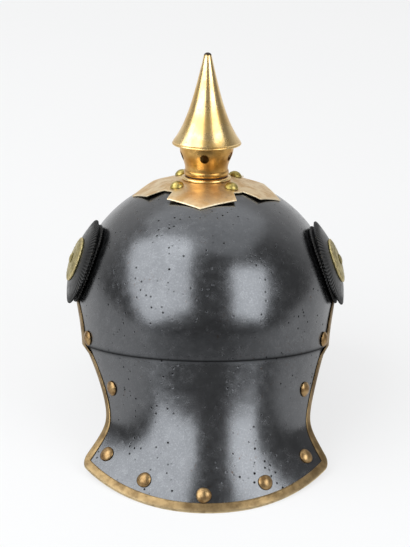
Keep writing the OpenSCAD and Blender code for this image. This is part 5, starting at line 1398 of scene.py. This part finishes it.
def make_star_bolts():
    """Boss, half an ellipse with a bell curve for its beaded rim, whose foot narrows down between
    the rays, and two studs."""
    boss_r, dome_h, dome_end, rim_h = 12, 4.8, 0.86, 1.2
    bead, bead_at, bead_soft, stud_x = 0.7, 0.93, 0.05, 24.0
    foot = STAR_LIFT + 2.2
    r = np.linspace(0, 1, 40)
    top = (STAR_SEAT + rim_h + dome_h * np.sqrt(np.maximum(1 - (r / dome_end) ** 2, 0))
           + bead * np.exp(-((r - bead_at) / bead_soft) ** 2) - 0.9 * smooth((r - 0.95) / 0.05))
    boss = np.concatenate([np.stack([boss_r * r, top], -1), [
        [boss_r, STAR_SEAT], [11, STAR_SEAT - 0.5], [7.5, foot], [0, foot]]])
    middle = np.array([0.0, float(brow_y(0.0, STAR_Z)), STAR_Z])
    add_piece("star_boss_dome", set_on(turned(shanked(boss, *STAR_BOLT), 72), middle,
                                       skull_normal(middle)), POLISHED, ["star_boss"], sharp=50)
    stud = turned(shanked(dome(7.2, 1.5, 0.3, STAR_SEAT), *STAR_BOLT), 40)
    spots = [np.array([x, float(brow_y(x, STAR_Z)), STAR_Z]) for x in (-stud_x, stud_x)]
    add_piece("star_stud_heads", gather([set_on(stud, p, skull_normal(p)) for p in spots]),
              POLISHED, ["star_studs"], sharp=50)


# ---- leather inside and under the spike
BAND_IN, BAND_T, BAND_TOP, BAND_LOW, BAND_SEAM = SKULL_T + SEAT, 1.6, 19.0, -4.0, 3.2


def make_liner_band():
    """Band inside the skull, cut up over the ears: a section with rounded edges, carried round
    the skull's wall, with a groove along its top for the stitches."""
    groove, groove_half = 0.2, 0.5
    edge_r = BAND_T / 2
    a = np.linspace(0, 2 * math.pi, 360, endpoint=False)[:, None]
    arch = (EAR_R + TRIM_W + SEAT) ** 2 - (HALF[1] * np.sin(a) + EAR_BACK) ** 2
    low = np.maximum(BAND_LOW, EAR_Z + np.sqrt(np.maximum(arch, 0)))
    k = np.linspace(0, 1, 16)[None, :]
    half_turn = np.linspace(0, math.pi, 9)[None, 1:-1]
    rise, over = edge_r * np.sin(half_turn), edge_r * np.cos(half_turn)
    wall = low + edge_r + (BAND_TOP - low - BAND_T) * k
    z = np.concatenate([wall, BAND_TOP - edge_r + rise + 0 * low, wall[:, ::-1],
                        low + edge_r - rise], 1)
    deep = np.concatenate([0 * k, edge_r - over, BAND_T + 0 * k, edge_r + over], 1) + 0 * low
    deep = deep - groove * np.exp(-((BAND_TOP - BAND_SEAM - z) / groove_half) ** 2) * (deep > 1.5)
    half = HALF - BAND_IN - deep[..., None]
    lean = np.sqrt(1 - (np.maximum(z, 0) / half[..., 2]) ** 2)
    rings = np.stack([half[..., 0] * lean * np.cos(a), half[..., 1] * lean * np.sin(a), z], -1)
    add_piece("liner_band_leather", outward(tube(rings, True)), LINER, ["liner_band"])


def make_band_stitches():
    """Stitches in the band's groove, all round."""
    a = np.linspace(0, 2 * math.pi, 132, endpoint=False)[:, None]
    half, z = HALF - BAND_IN - BAND_T + 0.15, BAND_TOP - BAND_SEAM
    lean = math.sqrt(1 - (z / half[2]) ** 2)
    spots = np.concatenate([half[0] * lean * np.cos(a), half[1] * lean * np.sin(a), z + 0 * a], 1)
    along = unit(np.concatenate([-half[0] * np.sin(a), half[1] * np.cos(a), 0 * a], 1))
    add_piece("liner_band_stitches", stitches(spots, along, -unit(spots * [1, 1, 0]), 2.8, 0.4),
              THREAD, ["liner_band"])


# The tongues lie along an ellipsoid of these half sizes; the lace runs round at this radius
TONGUE_A, TONGUE_B, TONGUE_C = 96.4, 114.4, 75.6
TONGUES, LACE_R = 9, 21.5


def make_liner_tongues():
    """Tongues that rise from behind the band to the lace, wide at the foot, rounded at the tip
    and softly edged. Each bulges a little in its own way, by a product of waves."""
    length, tip_half, spread, tip_r, edge_r = 92, 5.5, 23.5, 5, 0.63
    near_side, far_side = 0.35, 1.65
    u = np.sin(np.linspace(-math.pi / 2, math.pi / 2, 19))[None, :]
    k = ((1 - np.cos(np.linspace(0, math.pi, 42))) / 2)[:, None]
    tip, foot = math.acos(18.5 / TONGUE_A), math.asin(9 / TONGUE_C)
    rise = tip + (foot - tip) * k
    half = (tip_half + spread * k ** 0.8) * rounded_end(k * length, tip_r, 0.02)
    edge = np.minimum((1 - np.abs(u)) * half, np.minimum(k, 1 - k) * length)
    eased = edge_r * (1 - np.sqrt(1 - np.clip(1 - edge / edge_r, 0, 1) ** 2))
    free = smooth(k * 4) * smooth((1 - k) * 4)
    parts = []
    for i in range(TONGUES):
        a = math.pi / 2 + math.radians(360 / TONGUES * i) + u * half / (TONGUE_A * np.cos(rise))
        bulge = free * (0.7 * np.sin(7 * k + 2.2 * i) * np.cos(1.4 * u + i)
                        + 0.5 * u * np.sin(3 * i))

        def skin(deep):
            """The tongue on its ellipsoid, set in by a depth."""
            return np.stack([(TONGUE_A - deep) * np.cos(rise) * np.cos(a),
                             (TONGUE_B - deep) * np.cos(rise) * np.sin(a),
                             (TONGUE_C - deep) * np.sin(rise) + 0 * a], -1)
        parts.append(outward(shell(skin(near_side + eased + bulge),
                                   skin(far_side - eased + bulge))))
    add_piece("liner_tongue_leather", gather(parts), LINER, ["liner_tongues"])


def make_lace():
    """Thong laced through the tongues' tips: a circle laid on their ellipsoid, which a cosine
    takes under each tongue and over each gap. Its knot is a trefoil with two hanging tails."""
    thong_r, knot_r, tail_r, sway, knot_size = 1.05, 0.9, 0.95, 2.0, 1.15
    knot_at, tail_z = [0, -LACE_R, 69.0], 68.5
    a = np.linspace(0, 2 * math.pi, 361)[:-1]
    x, y = LACE_R * np.cos(a), LACE_R * np.sin(a)
    z = TONGUE_C * np.sqrt(1 - (x / TONGUE_A) ** 2 - (y / TONGUE_B) ** 2)
    z = z - 0.7 - sway * np.cos(TONGUES * (a - math.pi / 2))
    parts = [cord(np.stack([x, y, z], -1), thong_r, True)]
    t = np.linspace(0, 2 * math.pi, 97)[:-1]
    knot = np.stack([np.sin(t) + 2 * np.sin(2 * t), -1.2 * np.sin(3 * t),
                     np.cos(t) - 2 * np.cos(2 * t)], -1) * knot_size
    parts.append(cord(knot + knot_at, knot_r, True, up=(0, 1, 0)))
    k = np.linspace(0, 1, 30)[:, None]
    for lean, _ in SIDES:
        tail = np.concatenate([lean * (1.5 + 7 * k + 2 * np.sin(3 * k)), -LACE_R + 3 * k ** 2,
                               tail_z - 17 * k + 3 * np.sin(4 * k)], 1)
        parts.append(cord(tail, tail_r * np.sqrt(np.clip(1 - (2 * k[:, 0] - 1) ** 8, 0.1, 1)),
                          up=(0, 1, 0)))
    add_piece("liner_lace_thong", gather(parts), LACE, ["liner_lace"])


def make_washer():
    """Leather washer under the spike's foot, its edges rounded by use."""
    bore, outer_r = SLEEVE_R + 0.1, 16.3
    low = COLLAR_TOP + RUN
    ring = rounded([[bore, low + WASHER_T], [outer_r, low + WASHER_T], [outer_r, low],
                    [bore, low]], 0.35, 5)
    add_piece("spike_foot_washer", outward(turned(loop_of(ring), 96)), STRAP, ["spike_washer"])


make_skull()
make_guards()
make_trims()
make_rivets()
make_cross_base()
make_collar()
make_neck()
make_cone()
make_point()
make_cockades()
make_right_strap()
make_left_strap()
make_scales()
make_buckle()
make_keeper()
make_tabs()
make_star_plate()
make_star_bolts()
make_liner_band()
make_band_stitches()
make_liner_tongues()
make_lace()
make_washer()

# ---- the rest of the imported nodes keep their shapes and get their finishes
FINISH = {"plain_brass": STUD, "matt_brass": BASE, "polished_brass": POLISHED,
          "brown_leather": STRAP, "liner_leather": LINER, "burnished_steel": STEEL,
          "copper_brass": RIVET, "pale_brass": PALE, "tarnished_brass": TRIM,
          "black_paint": LACQUER, "black_leather": BACKING}
for name, node in frame["nodes"].items():
    if not node.hide_render:
        node.data.materials.clear()
        node.data.materials.append(FINISH[SLOT[name]])


# ---- studio
# The photograph's height and its lens's focal length in pixels, and the shift of its middle
PHOTO_H, FOCAL_PX, SHIFT_X_PX, SHIFT_Y_PX = 547, 2200.8, -0.594, -28


def make_floor():
    """Pale paper floor that fills the view and keeps the helmet's shadow. It shines to the
    camera, and to polished metal where it lies behind the helmet."""
    half, paper_mm, shine = 6.0, 400, 0.725
    mesh = bpy.data.meshes.new("studio_floor")
    mesh.from_pydata([[-half, -half, 0.0], [half, -half, 0.0], [half, half, 0.0],
                      [-half, half, 0.0]], [], [[0, 1, 2, 3]])
    floor = placed("studio_floor", mesh)
    mat, shader, place = new_material("pale_studio_paper")
    link(mat, blend_colour(mat, noise(mat, place, paper_mm, 2), tone("#6c6c6c"), tone("#717171")),
         shader.inputs["Base Color"])
    shader.inputs["Roughness"].default_value = 0.9
    rays = add(mat, "ShaderNodeLightPath").outputs
    depth = add(mat, "ShaderNodeSeparateXYZ", {"Vector": place}).outputs["Y"]
    behind = figure(mat, rays["Is Glossy Ray"], band(mat, depth, -0.9, 0.0))
    seen = figure(mat, rays["Is Camera Ray"], behind, "MAXIMUM")
    glow = add(mat, "ShaderNodeEmission", {"Color": tone("#ffffff"),
                                           "Strength": figure(mat, seen, shine)})
    both = add(mat, "ShaderNodeAddShader", {0: shader.outputs[0], 1: glow.outputs[0]})
    link(mat, both.outputs[0], mat.node_tree.nodes["Material Output"].inputs["Surface"])
    mesh.materials.append(mat)


def make_air():
    """The room: dim to the object, pale to polished metal behind the helmet and to the camera."""
    dim, to_metal, to_camera = 0.2, 0.5, 0.6
    world = bpy.data.worlds.new("studio_air")
    bpy.context.scene.world = world
    world.use_nodes = True
    way = add(world, "ShaderNodeTexCoord").outputs["Generated"]
    depth = add(world, "ShaderNodeSeparateXYZ", {"Vector": way}).outputs["Y"]
    rays = add(world, "ShaderNodeLightPath").outputs
    behind = figure(world, rays["Is Glossy Ray"], band(world, depth, 0.2, 0.9, 0.0, to_metal))
    seen = figure(world, rays["Is Camera Ray"], to_camera)
    air = world.node_tree.nodes["Background"].inputs
    air["Color"].default_value = tone("#ffffff")
    link(world, figure(world, figure(world, behind, seen, "MAXIMUM"), dim, "ADD"),
         air["Strength"])


def direction(way, turn):
    """Turn that points an object's -Z along a direction and then rolls it about its own Z."""
    point = Vector([float(x) for x in way]).to_track_quat("-Z", "Y")
    return point @ Quaternion((0, 0, 1), turn)


def make_windows():
    """Two tall windows behind the helmet, which polished metal mirrors as soft bars, and a wide
    bright ceiling before it."""
    target, daylight = np.array([0.0, 0.0, 0.13]), (0.94, 0.97, 1.0)
    # Azimuth from the helmet's back, elevation and roll in degrees; distance and size in metres
    for name, az, el, turn, far, wide, tall, watts in (
            ("left_window", -66, 41.5, 50, 1.5, 1.65, 2.45, 41.0),
            ("right_window", 52, 33, -30, 1.5, 0.9, 1.4, 14.0),
            ("ceiling", 180, 66, 0, 2.2, 3.0, 2.4, 18.0)):
        lamp = bpy.data.lights.new(name, "AREA")
        lamp.shape, lamp.size, lamp.size_y, lamp.energy = "RECTANGLE", wide, tall, watts
        lamp.color = daylight
        box = placed(name, lamp)
        a, e = math.radians(az), math.radians(el)
        way = np.array([math.sin(a) * math.cos(e), -math.cos(a) * math.cos(e), math.sin(e)])
        box.location = target + way * far
        box.rotation_euler = direction(-way, math.radians(turn)).to_euler()


def make_camera():
    """The photograph's view: from behind and 25 degrees above, with a long lens. The camera is
    set in the helmet's own frame: it looks at a point on the spike's axis, 40 mm above the
    skull's widest level, from 1.7 m away."""
    yaw, sink, roll, far = math.radians(1.173), math.radians(14.32), math.radians(0.643), 1699.0
    look_at, sensor_mm = np.array([0.0, 0.0, 40.0]), 36
    way = np.array([math.sin(yaw) * math.cos(sink), math.cos(yaw) * math.cos(sink),
                    -math.sin(sink)])
    right = np.array([math.cos(yaw), -math.sin(yaw), 0.0])
    up = np.cross(right, way)
    axes = [right * math.cos(roll) + up * math.sin(roll),
            up * math.cos(roll) - right * math.sin(roll), -way]
    axes = [unit(stood(axis) - stood(np.zeros(3))).tolist() for axis in axes]
    turn = Matrix([Vector(axis) for axis in axes]).transposed()
    camera = placed("camera", bpy.data.cameras.new("camera"))
    eye = stood(look_at - far * way)
    camera.matrix_world = Matrix.Translation(Vector(eye.tolist())) @ turn.to_4x4()
    lens = camera.data
    lens.sensor_fit, lens.sensor_height, lens.clip_end = "VERTICAL", sensor_mm, 30
    lens.lens = sensor_mm * FOCAL_PX / PHOTO_H
    lens.shift_x, lens.shift_y = SHIFT_X_PX / PHOTO_H, SHIFT_Y_PX / PHOTO_H
    bpy.context.scene.camera = camera


make_floor()
make_air()
make_windows()
make_camera()
bpy.context.scene.view_settings.view_transform = "Standard"
